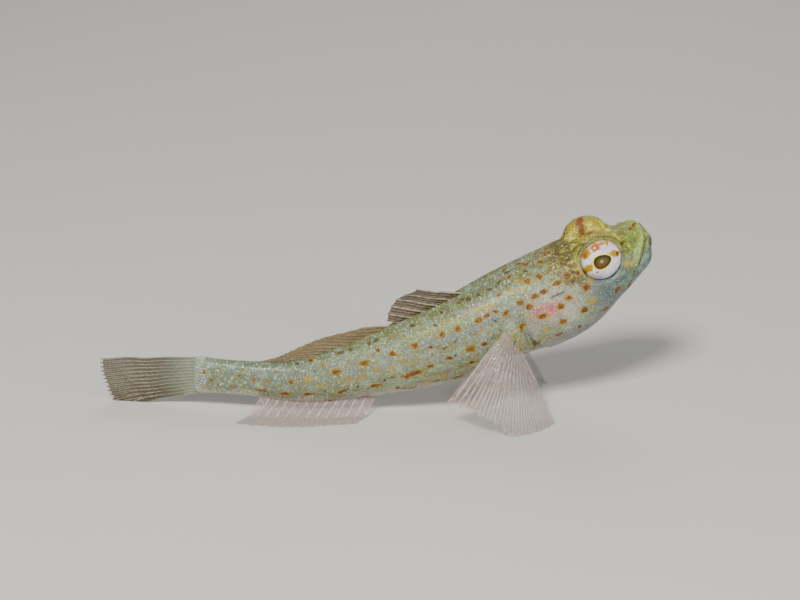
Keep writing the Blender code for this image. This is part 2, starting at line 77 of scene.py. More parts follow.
# s, above the axis, below the axis, half width
GIRTH = (
    (-1.5, 2.5, 2.5, 0.75),
    (0.0, 2.4, 2.4, 0.95),
    (3.3, 2.2, 2.2, 1.15),
    (7.0, 2.25, 2.25, 1.35),
    (10.7, 2.5, 2.5, 1.6),
    (13.1, 2.8, 2.75, 1.8),
    (16.9, 3.3, 3.2, 2.1),
    (19.5, 3.6, 3.5, 2.35),
    (23.3, 4.1, 4.0, 2.85),
    (29.9, 4.9, 4.9, 3.8),
    (33.7, 5.2, 5.25, 4.25),
    (40.7, 5.55, 5.75, 4.85),
    (44.7, 5.75, 6.05, 5.2),
    (47.5, 5.75, 6.05, 5.4),
    (50.4, 5.7, 5.45, 5.25),
    (53.9, 4.75, 3.9, 4.65),
    (56.5, 3.98, 2.95, 4.0),
    (58.1, 3.62, 2.25, 3.45),
    (61.0, 3.45, 1.7, 3.0),
)
ROLL = ((-2.0, 0.0), (20.0, 2.0), (40.0, 7.0), (50.0, 10.0), (62.0, 10.0))  # degrees
TAIL_START, TAIL_END = 0.9, -0.4
SNOUT_START, SNOUT_END, SNOUT_POWER = 58.0, 60.1, 3.0
SECTION_POWER = 2.15
RAKE, RAKE_START, RAKE_FULL = 0.3, 54.5, 59.0  # how far the snout's top leans forward per mm of height
SNOUT_SINK = 0.34  # how far the skin over the snout lies within the plain body

# Gill cover, eyes, mouth and nostrils
GILL_EDGE, GILL_SWEEP, GILL_RISE = 41.3, 4.6, 0.27
EYE_S, EYE_SIDE, EYE_UP = 53.35, 3.05, 3.45
EYE_TILT, EYE_AHEAD = radians(8.5), radians(-1.5)
EYE_RADIUS, EYE_DEPTH = 2.66, 1.75
LID_OUT, LID_RISE = 0.14, 0.13  # the fold of skin round an eye: how far outside it and how high
SOCKET_GAP = 0.35  # from the face of an eyeball down to the skin under it
ORBIT_RADII, ORBIT_SINK = np.array((3.15, 3.45, 2.05)), 0.8
GAPE_FRONT, GAPE_CORNER = (60.1, 2.8), (57.3, 0.2)  # along the axis and height over it
LIP_HEIGHT, LIP_WIDTH, LIP_OFFSET = 0.3, 0.42, 0.62
NOSTRILS, NOSTRIL_RADIUS = ((57.45, 30), (56.25, 32)), 0.3  # s and phi in degrees of each

# Fins; the rear rays of the back fins are shorter than those of their solids
D1_FRONT, D1_REAR, D1_SINK = 36.4, 27.0, 0.5
D1_LENGTH = ((0.0, 6.0), (0.35, 5.7), (0.7, 3.8), (1.0, 1.5))
D1_ANGLE = (radians(35), radians(29))
D2_FRONT, D2_REAR, D2_SINK = 25.8, 9.8, 0.3
D2_LENGTH = ((0.0, 3.2), (0.25, 5.1), (0.5, 5.0), (0.75, 3.6), (1.0, 1.8))
D2_ANGLE = (radians(20), radians(7))
CAUDAL_LENGTH, CAUDAL_ROOT, CAUDAL_RAYS = 12.6, 1.1, 13
CAUDAL_HALF, CAUDAL_SPREAD, CAUDAL_DROOP = 2.3, 1.1, radians(12)
ANAL_FRONT, ANAL_REAR, ANAL_LENGTH = 22.3, 8.6, 7.4
PELVIC_ROOT_S, PELVIC_HALF, PELVIC_REAR_X = 43.2, 4.0, 9.6
LOBE_S, LOBE_PHI = 39.6, radians(97)
LOBE_RADII = (1.5, 2.6, 1.1)
FAN_TOP, FAN_BOTTOM = 2.0, -2.1
FAN_REAR, FAN_FRONT = (8.6, 7.9, 3.4), (22.2, 6.6, 0.25)
FAN_SWELL = 3.6
RAY_WIDTH, FORK_APART = 0.13, 0.23  # half width of a ray and of its fork, in gaps between rays
TIP_THINNING = 0.6  # share of its thickness that a fin loses from its root to its tips
SOLID_Z = 0.25  # height of the middle of a fin's solid where it lies on the floor
FLAT_Z = 0.07  # the same for the thin fin made here
LIFT_Z = 0.65  # from this height up a thin fin follows its solid
FLOOR_GAP = 0.004  # the least height of any face of a fin


def unit(v):
    return v / np.linalg.norm(v, axis=-1, keepdims=True)


def smooth(low, high, x):
    """0 below low, 1 above high and an S between them; low may be the larger of the two."""
    t = np.clip((x - low) / (high - low), 0.0, 1.0)
    return t * t * (3 - 2 * t)


def bell(x, width):
    return np.exp(-((x / width) ** 2))


def curve_at(knots, s):
    """The smooth curve through rows of (s, value, ...) read at s, one row of values for each s."""
    knots = np.asarray(knots, float)
    at, value = knots[:, 0], knots[:, 1:]
    slope = np.gradient(value, at, axis=0)
    s = np.atleast_1d(np.asarray(s, float))
    i = np.clip(np.searchsorted(at, s) - 1, 0, len(at) - 2)
    step = (at[i + 1] - at[i])[:, None]
    t = (s[:, None] - at[i][:, None]) / step
    return (
        value[i] * (2 * t**3 - 3 * t**2 + 1)
        + slope[i] * step * (t**3 - 2 * t**2 + t)
        + value[i + 1] * (3 * t**2 - 2 * t**3)
        + slope[i + 1] * step * (t**3 - t**2)
    )


AXIS_S = np.concatenate(([0.0], np.cumsum(np.linalg.norm(np.diff(AXIS, axis=0), axis=1))))
AXIS_KNOTS = np.column_stack((AXIS_S, AXIS + ORIGIN_SHIFT))


def frame_at(s):
    """Centre, forward, up and right of the body at each s."""
    s = np.atleast_1d(np.asarray(s, float))
    centre = curve_at(AXIS_KNOTS, s)
    ahead = unit(curve_at(AXIS_KNOTS, s + 0.2) - curve_at(AXIS_KNOTS, s - 0.2))
    right = unit(np.cross(ahead, (0.0, 0.0, 1.0)))
    up = np.cross(right, ahead)
    roll = np.radians(curve_at(ROLL, s))
    turned_up = up * np.cos(roll) + right * np.sin(roll)
    return centre, ahead, turned_up, right * np.cos(roll) - up * np.sin(roll)


def frame_one(s):
    return [v[0] for v in frame_at(s)]


def end_shares(s):
    """Shares of the height and width: 1 on the body, falling to 0 at the snout's tip and the tail."""
    t = np.clip((s - SNOUT_START) / (SNOUT_END - SNOUT_START), 0.0, 1.0)
    q = np.clip((TAIL_START - s) / (TAIL_START - TAIL_END), 0.0, 1.0)
    snout = np.sqrt(1 - t**SNOUT_POWER)
    return snout * np.sqrt(1 - q**6), snout * np.sqrt(1 - q**2)


def body(s, phi, grow=0.0):
    """Points of the plain body, or of that body grown outwards."""
    s, phi = np.broadcast_arrays(np.asarray(s, float), np.asarray(phi, float))
    shape, s, phi = s.shape, s.ravel(), phi.ravel()
    centre, ahead, up, right = frame_at(s)
    above, below, side = curve_at(GIRTH, s).T
    power = 2 / SECTION_POWER
    c = np.sign(np.cos(phi)) * np.abs(np.cos(phi)) ** power
    d = np.sign(np.sin(phi)) * np.abs(np.sin(phi)) ** power
    tall_share, wide_share = end_shares(s)
    tall = np.where(c > 0, above, below) * tall_share + grow
    wide = side * wide_share + grow
    leaning = up + ahead * (RAKE * smooth(RAKE_START, RAKE_FULL, s))[:, None]
    return (centre + leaning * (tall * c)[:, None] + right * (wide * d)[:, None]).reshape(*shape, 3)


def on_body(s, phi):
    """A point on the plain body and the direction that is outwards there."""
    p = body(s, phi)
    along = body(s + 0.05, phi) - body(s - 0.05, phi)
    around = body(s, phi + 0.02) - body(s, phi - 0.02)
    normal = unit(np.cross(around, along))
    return p, normal if np.dot(normal, p - frame_one(s)[0]) > 0 else -normal


def eye_place(side):
    """Centre of an eye and its axes: forward, upward and out along the line of sight."""
    centre, ahead, up, right = frame_one(EYE_S)
    out = right * side
    sight = out * cos(EYE_TILT) + up * sin(EYE_TILT)
    sight = unit(sight * cos(EYE_AHEAD) + ahead * sin(EYE_AHEAD))
    ahead = unit(ahead - sight * np.dot(ahead, sight))
    lift = np.cross(sight, ahead) * side
    return centre + out * EYE_SIDE + up * EYE_UP, (ahead, lift, sight)


def fin_lobe(side):
    """Centre and axes of the fleshy root of a breast fin: forward, along the root, outwards."""
    spot, normal = on_body(LOBE_S, side * LOBE_PHI)
    ahead = frame_one(LOBE_S)[1]
    ahead = unit(ahead - normal * np.dot(ahead, normal))
    lift = np.cross(normal, ahead)
    return spot, (ahead, lift if lift[2] > 0 else -lift, normal)


def gill_edge(phi):
    """s of the hind edge of the gill cover at each angle."""
    return GILL_EDGE + GILL_SWEEP * (1 - np.abs(np.sin(phi)) ** 1.4)


# Markings. Each row: what they are, half length and half width, then s and phi in degrees of each.
MARK_ROWS = (
    ("orange", 0.58, 0.34, ((18.0, 70), (21.6, 66), (46.9, 49), (40.9, 87), (43.5, 83), (43.6, 56))),
    ("orange", 0.42, 0.31, ((12.0, 77), (25.4, 63), (31.8, 57), (31.6, 92), (39.8, 64), (42.5, 66))),
    ("orange", 0.42, 0.37, ((28.2, 61), (33.8, 57), (36.6, 57), (34.2, 89), (41.7, 57), (43.5, 33))),
    ("orange", 0.44, 0.4, ((45.1, 32), (46.1, 79), (47.5, 72), (45.8, 97), (39.3, 108), (41.9, 120))),
    ("orange", 0.3, 0.27, ((7.4, 81), (35.9, 104), (40.0, 36), (46.8, 27), (37.9, 91), (34.9, 120))),
    ("orange", 0.48, 0.24, ((16.2, 150), (20.5, 152), (26.1, 140))),
    ("orange", 0.48, 0.24, ((29.1, 129), (31.7, 136), (40.4, 140))),
    ("brown", 0.68, 0.21, ((8.3, 112), (11.3, 112), (14.1, 111), (18.0, 116), (22.2, 113))),
    ("brown", 1.15, 0.33, ((26.7, 103),)),
    ("brown", 0.45, 0.25, ((23.3, 158), (44.9, 116), (29.1, 96), (44.7, 54), (35.3, 121))),
    ("brown", 0.29, 0.25, ((1.1, 72), (2.1, 94), (4.9, 110), (15.0, 20))),
    ("brown", 0.29, 0.25, ((23.7, 49), (24.6, 130), (29.9, 70), (35.3, 17))),
    ("brown", 0.29, 0.26, ((35.9, 90), (37.8, 56), (38.8, 56), (33.8, 109))),
    ("brown", 0.29, 0.26, ((41.9, 14), (46.8, 26), (48.0, 0))),
    ("brown", 0.45, 0.42, ((48.6, 46), (50.1, 71), (48.6, 94), (53.6, 99), (51.2, 118))),
    ("brown", 0.26, 0.33, ((50.0, 50), (47.5, 117), (57.8, 4), (55.3, 113))),
    ("dark", 0.26, 0.33, ((59.2, 58),)),
    ("olive", 0.58, 0.32, ((56.7, 11),)),
    ("dark", 0.28, 0.23, ((18.8, 27), (20.3, 26), (22.9, 29), (23.9, 27))),
    ("dark", 0.28, 0.23, ((31.4, 39), (32.7, 21), (12.9, 22))),
    ("dark", 0.3, 0.28, ((36.7, 19), (38.0, 21), (39.4, 21), (40.6, 17))),
    ("dark", 0.3, 0.28, ((41.9, 4), (43.8, 17), (28.6, 24))),
    ("dark", 0.4, 0.1, ((49.1, 10), (50.3, 9), (49.6, 1), (50.7, 0), (51.6, 3))),
    ("olive", 0.44, 0.26, ((3.1, 67), (6.1, 108), (8.9, 81), (10.0, 50))),
    ("olive", 0.44, 0.26, ((16.5, 46), (30.6, 74), (32.5, 76))),
    ("olive", 0.44, 0.27, ((34.0, 36), (35.3, 71), (35.9, 41), (30.8, 113), (32.5, 111), (29.7, 113))),
    ("olive", 0.26, 0.23, ((5.2, 81), (19.7, 56), (21.8, 40), (22.9, 56))),
    ("olive", 0.26, 0.23, ((29.9, 39), (37.6, 70), (48.3, 19))),
    ("olive", 0.26, 0.2, ((32.9, 139), (16.5, 160), (13.2, 48), (27.2, 38), (45.2, 45), (26.0, 32))),
    ("gold", 0.44, 0.3, ((14.3, 73), (37.2, 41), (35.9, 108), (38.3, 43), (52.4, 15), (50.0, 89))),
    ("gold", 0.26, 0.26, ((41.4, 38), (42.5, 26), (42.5, 41), (28.0, 117), (30.3, 121), (43.6, 100))),
    ("gold", 0.55, 0.26, ((56.1, 72), (51.0, 67))),
    ("gold", 0.6, 0.55, ((54.9, 9),)),
    ("faint", 0.48, 0.3, ((16.0, 94), (19.0, 91), (20.7, 91), (23.1, 86))),
    ("faint", 0.48, 0.3, ((24.8, 86), (26.3, 79), (27.8, 81))),
    ("faint", 0.48, 0.24, ((6.4, 56), (24.8, 97), (32.5, 39), (34.9, 84))),
    ("faint", 0.48, 0.24, ((36.6, 71), (32.5, 126), (42.7, 111))),
    ("pore", 0.15, 0.13, ((5.5, 71), (16.0, 109), (18.8, 111), (19.3, 27), (21.2, 117), (26.7, 133))),
    ("pore", 0.13, 0.13, ((37.0, 87), (37.4, 84), (38.3, 81), (38.5, 106), (55.0, 15))),
    ("pore", 0.2, 0.18, ((20.1, 109), (23.5, 104), (24.4, 101), (25.2, 136), (31.4, 77), (32.3, 91))),
    ("pore", 0.22, 0.18, ((32.9, 73), (38.3, 67), (37.4, 117), (48.9, 57))),
    ("pore", 0.22, 0.18, ((49.5, 46), (35.9, 14), (55.2, 13))),
    ("pore", 0.34, 0.22, ((49.7, 27), (56.3, 32))),
    ("brown", 0.4, 0.34, ((44.3, 4), (46.2, 10))),
)
MARK_STRAY = (0.35, 3.0)  # how far the left flank's marks stray, in mm and degrees
MIDLINE = 3  # marks within this many degrees of the ridge lie on both sides
MARK_KINDS = ("gold", "faint", "olive", "orange", "brown", "dark", "pore")
GILL_FLUSH = (44.2, 78, 1.8, 0.95)  # s, phi in degrees, half length, half width
DARK_LINES = (  # s and phi in degrees of their corners
    ((45.4, 64), (47.2, 63)),
    ((52.3, 23), (50.0, 16), (48.6, 10)),
    ((52.2, 4), (50.2, 3), (48.4, 8)),
    ((39.4, 94), (38.5, 106)),
    ((42.5, 114), (41.4, 133)),
)
ORBIT_BAR = (52.85, 0.55, 16)  # s, half width and end, in degrees of phi, of the bar over an orbit

# Scales: the height of one per length, half the width of its bow in rows, and its fall to the next
SCALE_TALL, SCALE_BOW, SCALE_FALL = 0.92, 0.6, 1.6

# The skin's grid
SKIN_ROUND, SKIN_ROWS = 252, 388
ROW_SPACING = (  # s, then the distance between the rows there
    (-0.4, 0.2),
    (37.0, 0.2),
    (42.0, 0.15),
    (49.0, 0.14),
    (50.6, 0.095),
    (57.0, 0.09),
    (60.25, 0.085),
)
EYE_ROUND, EYE_RINGS = 96, 64  # faces round an eyeball and from its front to its back


def waves(points, size, seed):
    """A smooth random field with features of about that size, mostly between -1 and 1."""
    rng = np.random.default_rng(seed)
    ways = unit(rng.normal(size=(14, 3))) * (2 * pi / size) * rng.uniform(0.5, 1.4, (14, 1))
    phases = rng.uniform(0, 2 * pi, 14)
    flat = points.reshape(-1, 3)
    total = sum(np.sin(flat @ way + phase) for way, phase in zip(ways, phases))
    return (total / sqrt(14)).reshape(points.shape[:-1])


def skin_rows():
    """s of each row of the skin, close together where the head has its detail and at both ends."""
    s = np.concatenate(
        (
            TAIL_END + (TAIL_START - TAIL_END) * (1 - np.cos(np.linspace(0, pi / 2, 200))),
            np.linspace(TAIL_START, SNOUT_START, 1200)[1:],
            SNOUT_START + (SNOUT_END - SNOUT_START) * np.sin(np.linspace(0, pi / 2, 300))[1:],
        )
    )
    above, below, side = curve_at(GIRTH, s).T
    tall_share, wide_share = end_shares(s)
    reach = 0.5 * ((above + below) * 0.5 * tall_share + side * wide_share)
    step = np.hypot(np.diff(s), np.diff(reach))
    spacing = np.interp(s, *np.transpose(ROW_SPACING))
    count = np.concatenate(([0.0], np.cumsum(step / (0.5 * (spacing[1:] + spacing[:-1])))))
    return np.interp(np.linspace(0, count[-1], SKIN_ROWS + 1), count, s)


def far_side(origin, way, centre, axes, radii):
    """Distance along each ray to where it leaves an ellipsoid, carried on smoothly past its edge."""
    o = ((origin - centre) @ np.transpose(axes)) / radii
    d = (way @ np.transpose(axes)) / radii
    a = np.maximum((d * d).sum(-1), 1e-9)
    middle = -(o * d).sum(-1) / a
    inside = 1 - ((o + middle[..., None] * d) ** 2).sum(-1)
    return middle + np.where(inside > 0, 1.0, -2.0) * np.sqrt(np.abs(inside) / a)


def soft_max(a, b, blend):
    overlap = np.maximum(blend - np.abs(a - b), 0.0) / blend
    return np.maximum(a, b) + overlap**2 * blend / 4


def grid_normals(points):
    """Outward normals of the skin's grid, whose second index goes round the body."""
    wrapped = np.concatenate((points[:, -1:], points, points[:, :1]), axis=1)
    around = wrapped[:, 2:] - wrapped[:, :-2]
    along = np.gradient(points, axis=0)
    normal = np.cross(around, along)
    size = np.linalg.norm(normal, axis=-1, keepdims=True)
    return normal / np.maximum(size, 1e-9)


class Places:
    """The skin's grid: s by row, phi by column, and where each point lies on the fish."""

    def __init__(self):
        self.s = skin_rows()
        self.phi = np.linspace(0, 2 * pi, SKIN_ROUND + 1)[:-1]
        self.phi = np.where(self.phi > pi, self.phi - 2 * pi, self.phi)
        self.side = np.where(self.phi < 0, -1, 1)
        self.centre, self.ahead, self.up = (v[:, None] for v in frame_at(self.s)[:3])
        plain = body(self.s[:, None], self.phi)
        self.points = self.raise_orbits_and_lobes(plain)
        self.flank = self.distance_from_midline()
        self.s2, self.phi2 = np.broadcast_arrays(self.s[:, None], self.phi)
        self.angle = np.degrees(np.abs(self.phi2))

    def raise_orbits_and_lobes(self, plain):
        ray = plain - self.centre
        reach = np.linalg.norm(ray, axis=-1)
        way = ray / np.maximum(reach, 1e-6)[..., None]
        for side in (1, -1):
            centre, axes = eye_place(side)
            orbit = centre - axes[2] * ORBIT_SINK
            reach = soft_max(reach, far_side(self.centre, way, orbit, axes, ORBIT_RADII), 0.7)
            centre, axes = fin_lobe(side)
            reach = soft_max(reach, far_side(self.centre, way, centre, axes, np.array(LOBE_RADII)), 0.6)
        ends = np.linalg.norm(ray, axis=-1) < 1e-6
        return np.where(ends[..., None], plain, self.centre + way * reach[..., None])

    def distance_from_midline(self):
        """Millimetres round the skin from the middle of the flank, downwards positive."""
        half = SKIN_ROUND // 2
        right = self.points[:, : half + 1]
        steps = np.linalg.norm(np.diff(right, axis=1), axis=-1)
        from_back = np.concatenate((np.zeros((len(self.s), 1)), np.cumsum(steps, axis=1)), axis=1)
        from_mid = from_back - from_back[:, half // 2][:, None]
        columns = np.abs(np.round(self.phi / (2 * pi) * SKIN_ROUND)).astype(int)
        return from_mid[:, columns]

    def point_at(self, s, degrees):
        row = np.argmin(np.abs(self.s - s))
        column = np.argmin(np.abs(np.degrees(self.phi) - degrees))
        return self.points[row, column]

    def flank_at(self, s, degrees):
        """The distance from the midline of one place."""
        row = np.argmin(np.abs(self.s - s))
        order = np.argsort(self.angle[row][: SKIN_ROUND // 2 + 1])
        return np.interp(degrees, self.angle[row][order], self.flank[row][order])


def scale_lattice(place, pitch):
    """Where each point lies among the scales: how many along the body and rows down the flank."""
    shrink = np.interp(place.s, (0, 12, 25, 38, 44, 52), (0.72, 0.8, 0.92, 1.0, 0.8, 0.6))
    size = pitch * shrink
    step = np.diff(place.s) / (0.5 * (size[1:] + size[:-1]))
    along = np.concatenate(([0.0], np.cumsum(step)))[:, None]
    rows = place.flank / (2 * SCALE_TALL * size[:, None])
    stray = 0.07 * waves(place.points, 5.0, 11)
    return along + stray, rows + 0.07 * waves(place.points, 6.0, 12)


def scale_height(along, rows):
    """1 at the free edge of each scale, falling to below 0 where the next one covers it."""
    nearest = 2.0
    for k in (0.0, 0.5):
        y = rows - k - np.round(rows - k)
        edge = 0.5 * np.sqrt(np.maximum(1 - (y / SCALE_BOW) ** 2, 0.0))
        nearest = np.minimum(nearest, (along - k + edge) % 1.0)
    return 1 - SCALE_FALL * nearest


def gape_places(place):
    """Distance from the mouth line, upwards positive, and how far it is back from the mouth's front."""
    from_axis = place.points - place.centre
    front, corner = np.array(GAPE_FRONT), np.array(GAPE_CORNER)
    way = unit(corner - front)
    x = place.s2 + (from_axis * place.ahead).sum(-1) - front[0]
    y = (from_axis * place.up).sum(-1) - front[1]
    return x * way[1] - y * way[0], np.linalg.norm(corner - front) - (x * way[0] + y * way[1])


def head_relief(place):
    """The lips, mouth line, gill covers, cheeks, folds and nostrils, as a height over the plain skin."""
    off, left = gape_places(place)
    near_mouth = smooth(55.6, 56.6, place.s2)
    lips = LIP_HEIGHT * np.clip((left + 0.9) / 1.6, 0, 1) * bell(np.abs(off) - LIP_OFFSET, LIP_WIDTH)
    folds = 0.09 * bell(off - 1.3, 0.13) + 0.06 * bell(off + 1.35, 0.14)
    slit = 0.3 * smooth(-0.35, 0.35, left) * bell(off, 0.13)
    height = near_mouth * (lips - slit - folds * smooth(-0.6, 0.4, left))

    behind = place.s2 - gill_edge(place.phi2)
    flap = smooth(48, 66, place.angle) * smooth(168, 150, place.angle)
    raised = GILL_RISE * smooth(-0.1, 0.12, behind) * np.exp(-np.maximum(behind, 0) / 2.4)
    height += flap * (raised - 0.2 * bell(behind + 0.3, 0.3) * (behind < 0.12))

    cheek = bell(place.s2 - 49.8, 3.0) * bell(place.angle - 92, 24)
    height += 0.16 * cheek
    jaw_edge = place.s2 - (47.2 + 2.2 * np.cos(np.radians(2 * (place.angle - 95))))
    height -= 0.1 * bell(jaw_edge, 0.25) * smooth(62, 80, place.angle) * smooth(140, 120, place.angle)
    snout = smooth(57.0, 58.4, place.s2) * smooth(60.2, 59.7, place.s2)
    height -= SNOUT_SINK * snout * smooth(48, 16, place.angle)
    throat = smooth(118, 135, place.angle) * smooth(41.5, 43.5, place.s2) * smooth(53, 50, place.s2)
    height += 0.05 * throat * np.sin(2 * pi * place.flank / 1.25)
    height += 0.022 * waves(place.points, 1.6, 21) * smooth(42, 46, place.s2)

    for s, degrees in NOSTRILS:
        for side in (1, -1):
            d = np.linalg.norm(place.points - place.point_at(s, side * degrees), axis=-1)
            height += 0.24 * bell(d - NOSTRIL_RADIUS, 0.13) - 0.3 * bell(d, 0.16)
    return height


def ray_roots(place):
    """Where the rays of the tail fin come out of the skin at its end: ridges from 0 to 1."""
    height = ((place.points - place.centre) @ place.up[0, 0]) / CAUDAL_HALF
    ridges = 0.5 + 0.5 * np.cos(pi * (CAUDAL_RAYS - 1) * (1 - height))
    return ridges * smooth(1.9, 0.7, place.s2 + 0.25 * waves(place.points, 0.9, 61))


def set_eyes_in(points):
    """Raises the fold of skin round each eye and draws the skin within it back under the eyeball."""
    for side in (1, -1):
        centre, axes = eye_place(side)
        local = (points - centre) @ np.transpose(axes)
        rho = np.hypot(local[..., 0], local[..., 1])
        outer = smooth(-1.6, -0.9, local[..., 2])
        rise = LID_RISE * bell(rho - EYE_RADIUS - LID_OUT, 0.14) * outer
        ball = EYE_DEPTH * np.sqrt(np.maximum(1 - (rho / EYE_RADIUS) ** 2, 0.0))
        under = np.minimum(local[..., 2] + rise, ball - SOCKET_GAP)
        share = smooth(EYE_RADIUS + 0.03, EYE_RADIUS - 0.1, rho) * (local[..., 2] > -1.0)
        height = (local[..., 2] + rise) * (1 - share) + under * share
        points = points + (height - local[..., 2])[..., None] * axes[2]
    return points


def mark_places(place):
    """Where each point lies in its nearest mark, in half sizes of it, and a mask for each kind."""
    rng = np.random.default_rng(5)
    nearest = np.full_like(place.s2, 9.0)
    second = nearest.copy()
    across_mark, down_mark = nearest.copy(), nearest.copy()
    nearest_kind = np.full(place.s2.shape, -1)
    for kind, length, width, spots in MARK_ROWS:
        for s, degrees in spots:
            for side in (1, -1):
                astray = (side < 0) * rng.normal(0, MARK_STRAY)
                grown = rng.uniform(0.94, 1.06) if side > 0 else rng.uniform(0.75, 1.15)
                tilt = rng.normal(0, 0.12)
                at = s + astray[0]
                x = place.s2 - at
                y = place.flank - place.flank_at(at, abs(degrees + astray[1]))
                x, y = (x + tilt * y) / length / grown, (y - tilt * x) / width / grown
                d = np.where((place.side == side) | (abs(degrees) < MIDLINE), np.hypot(x, y), 9.0)
                closer = d < nearest
                second = np.where(closer, nearest, np.minimum(second, d))
                nearest = np.where(closer, d, nearest)
                across_mark = np.where(closer, x, across_mark)
                down_mark = np.where(closer, y, down_mark)
                nearest_kind = np.where(closer, MARK_KINDS.index(kind), nearest_kind)
    near = smooth(2.6, 2.0, nearest) * smooth(0.15, 0.6, second - nearest)
    near *= 1 - 0.45 * smooth(14, 5, place.s2)
    masks = {kind: near * (nearest_kind == i) for i, kind in enumerate(MARK_KINDS)}
    masks.update(across_mark=across_mark, down_mark=down_mark)
    return masks


def off_line(place, ends):
    """Distance over the skin from a bent line, given the s and phi of its corners."""
    corners = [np.array((s, place.flank_at(s, degrees))) for s, degrees in ends]
    best = np.full_like(place.s2, 9.0)
    for first, last in zip(corners, corners[1:]):
        way = last - first
        x, y = place.s2 - first[0], place.flank - first[1]
        share = np.clip((x * way[0] + y * way[1]) / (way @ way), 0, 1)
        best = np.minimum(best, np.hypot(x - share * way[0], y - share * way[1]))
    return best


def skin_masks(place):
    """Where each colour of the skin lies, from 0 to 1."""
    s, angle = place.s2, place.angle
    drift = 9 * waves(place.points, 7.0, 41) + 4 * waves(place.points, 2.5, 42)
    masks = mark_places(place)
    masks["back"] = smooth(72, 24, angle + drift)
    masks["belly"] = smooth(112, 150, angle + drift)
    nape = gill_edge(place.phi2) + (49.6 - gill_edge(place.phi2)) * smooth(62, 38, angle)
    masks["scaled"] = smooth(0.5, -0.5, s - nape) * smooth(0.4, 1.6, s)
    masks["tail_end"] = smooth(1.7, 0.4, s + 0.3 * waves(place.points, 0.9, 61))
    masks["ray_root"] = ray_roots(place)
    masks["head"] = smooth(43.5, 49.5, s) * smooth(78, 46, angle + drift)
    masks["snout"] = smooth(54.6, 57.6, s) * smooth(115, 80, angle)
    masks["cheek"] = smooth(48.5, 52.5, s) * smooth(60, 74, angle) * smooth(132, 112, angle)
    masks["cover"] = bell(s - 45.8, 2.6) * bell(angle - 54, 16)
    masks["cover"] += bell(s - 47.0, 2.0) * bell(angle - 92, 16)
    masks["tail"] = smooth(24, 10, s)
    masks["shine"] = np.maximum(smooth(105, 55, angle), masks["tail"]) * smooth(53.0, 47.0, s)
    masks["dotted"] = smooth(48, 75, angle) * smooth(150, 125, angle)
    masks["throat"] = smooth(43.5, 46.5, s) * smooth(108, 128, angle)
    gold_row = np.interp(s, (27, 36, 42.5, 46), (47, 45, 38, 36))
    blue_row = np.interp(s, (27, 35, 39, 43), (67, 66, 63, 58))
    masks["band_gold"] = bell(angle - gold_row, 6) * smooth(25, 30, s) * smooth(46.5, 43, s)
    masks["band_blue"] = bell(angle - blue_row, 5) * smooth(26, 31, s) * smooth(43.5, 41, s)
    s0, degrees, half_length, half_width = GILL_FLUSH
    level = place.flank_at(s0, degrees)
    tilt = 0.12 * (s - s0)
    d = np.hypot((s - s0) / half_length, (place.flank - level + tilt) / half_width)
    masks["flush"] = smooth(1.5, 0.35, d)
    masks["blush"] = bell(s - 45.3, 3.2) * bell(angle + drift - 84, 20)
    masks["line"] = np.max([bell(off_line(place, ends), 0.13) for ends in DARK_LINES], axis=0)
    streaks = 0.5 + 0.5 * np.sin(2 * pi * (s - 0.25 * place.flank) / 0.72 + waves(place.points, 3.0, 43))
    root = bell(s - 39.0, 1.5) * bell(place.flank - 1.6, 2.1)
    masks["streak"] = root * streaks**2

    off, left = gape_places(place)
    near_mouth = smooth(55.8, 56.8, s)
    masks["lip"] = near_mouth * smooth(-0.4, 0.5, left) * bell(off - 0.66, 0.42)
    # Painted shade along the mouth slit, added to the dark lines.
    mouth_slit_shade = near_mouth * smooth(-0.4, 0.3, left) * bell(off, 0.11)
    masks["line"] = np.maximum(masks["line"], 0.4 * mouth_slit_shade)
    # The lower jaw: its colour holds painted shade as well as its own bluish grey.
    masks["shaded_jaw"] = near_mouth * smooth(0.1, -0.4, off)
    masks["orbit"], masks["rim"] = np.zeros_like(s), np.zeros_like(s)
    for side in (1, -1):
        centre, axes = eye_place(side)
        local = (place.points - centre) @ np.transpose(axes)
        rho = np.hypot(local[..., 0], local[..., 1])
        outer = local[..., 2] > -1.4
        dome = smooth(3.7, 3.0, rho) * smooth(-3.0, -2.3, local[..., 2]) * smooth(50, 30, angle)
        dome *= 1 - 0.6 * smooth(13, 20, angle)
        masks["orbit"] = np.maximum(masks["orbit"], dome)
        masks["rim"] = np.maximum(masks["rim"], bell(rho - EYE_RADIUS - LID_OUT, 0.13) * outer)
        # Painted shadow: a dark line along the upper edge of the fold round each eye, added to the dark
        # lines.
        above = smooth(0.45, 0.75, local[..., 1] / np.maximum(rho, 0.1))
        lid_shadow = bell(rho - EYE_RADIUS - 0.3, 0.11) * above
        masks["line"] = np.maximum(masks["line"], 0.75 * lid_shadow * outer)
    bar_s, bar_half, bar_end = ORBIT_BAR
    masks["bar"] = bell(s - bar_s - 0.055 * angle, bar_half) * smooth(bar_end + 3, bar_end, angle)
    masks["ridge"] = bell(s - 52.6, 0.9) * smooth(19, 8, angle)
    return masks


# Fins. In each, u runs along the root and t, an array, from the root to the tips.
def folded(front, rear, lengths, angles, sink):
    """A fin of the back laid towards the tail, its rays reaching under the skin by their own slope."""

    def point(u, t):
        s = front + (rear - front) * u
        _, ahead, up, _ = frame_one(s)
        angle = angles[0] + (angles[1] - angles[0]) * u
        way = -ahead * cos(angle) + up * sin(angle)
        below = sink / sin(angle)
        return body(s, 0.0) + way * ((curve_at(lengths, u)[0, 0] + below) * t - below)[:, None]

    return point


def caudal(u, t):
    """The tail fin: nearly parallel rays, the upper ones longest, the lowest on the floor."""
    centre, ahead, up, right = frame_one(0.0)
    v = 1 - 2 * u
    reach = CAUDAL_LENGTH * (0.95 + 0.09 * v - 0.045 * v**2)
    height = v * (CAUDAL_HALF + CAUDAL_SPREAD * t) - reach * t * sin(CAUDAL_DROOP)
    wave = 0.5 * np.sin(pi * t) + 0.9 * t**2
    back = reach * t - CAUDAL_ROOT * (1 - t)
    return centre - ahead * back[:, None] + up * height[:, None] - right * wave[:, None]


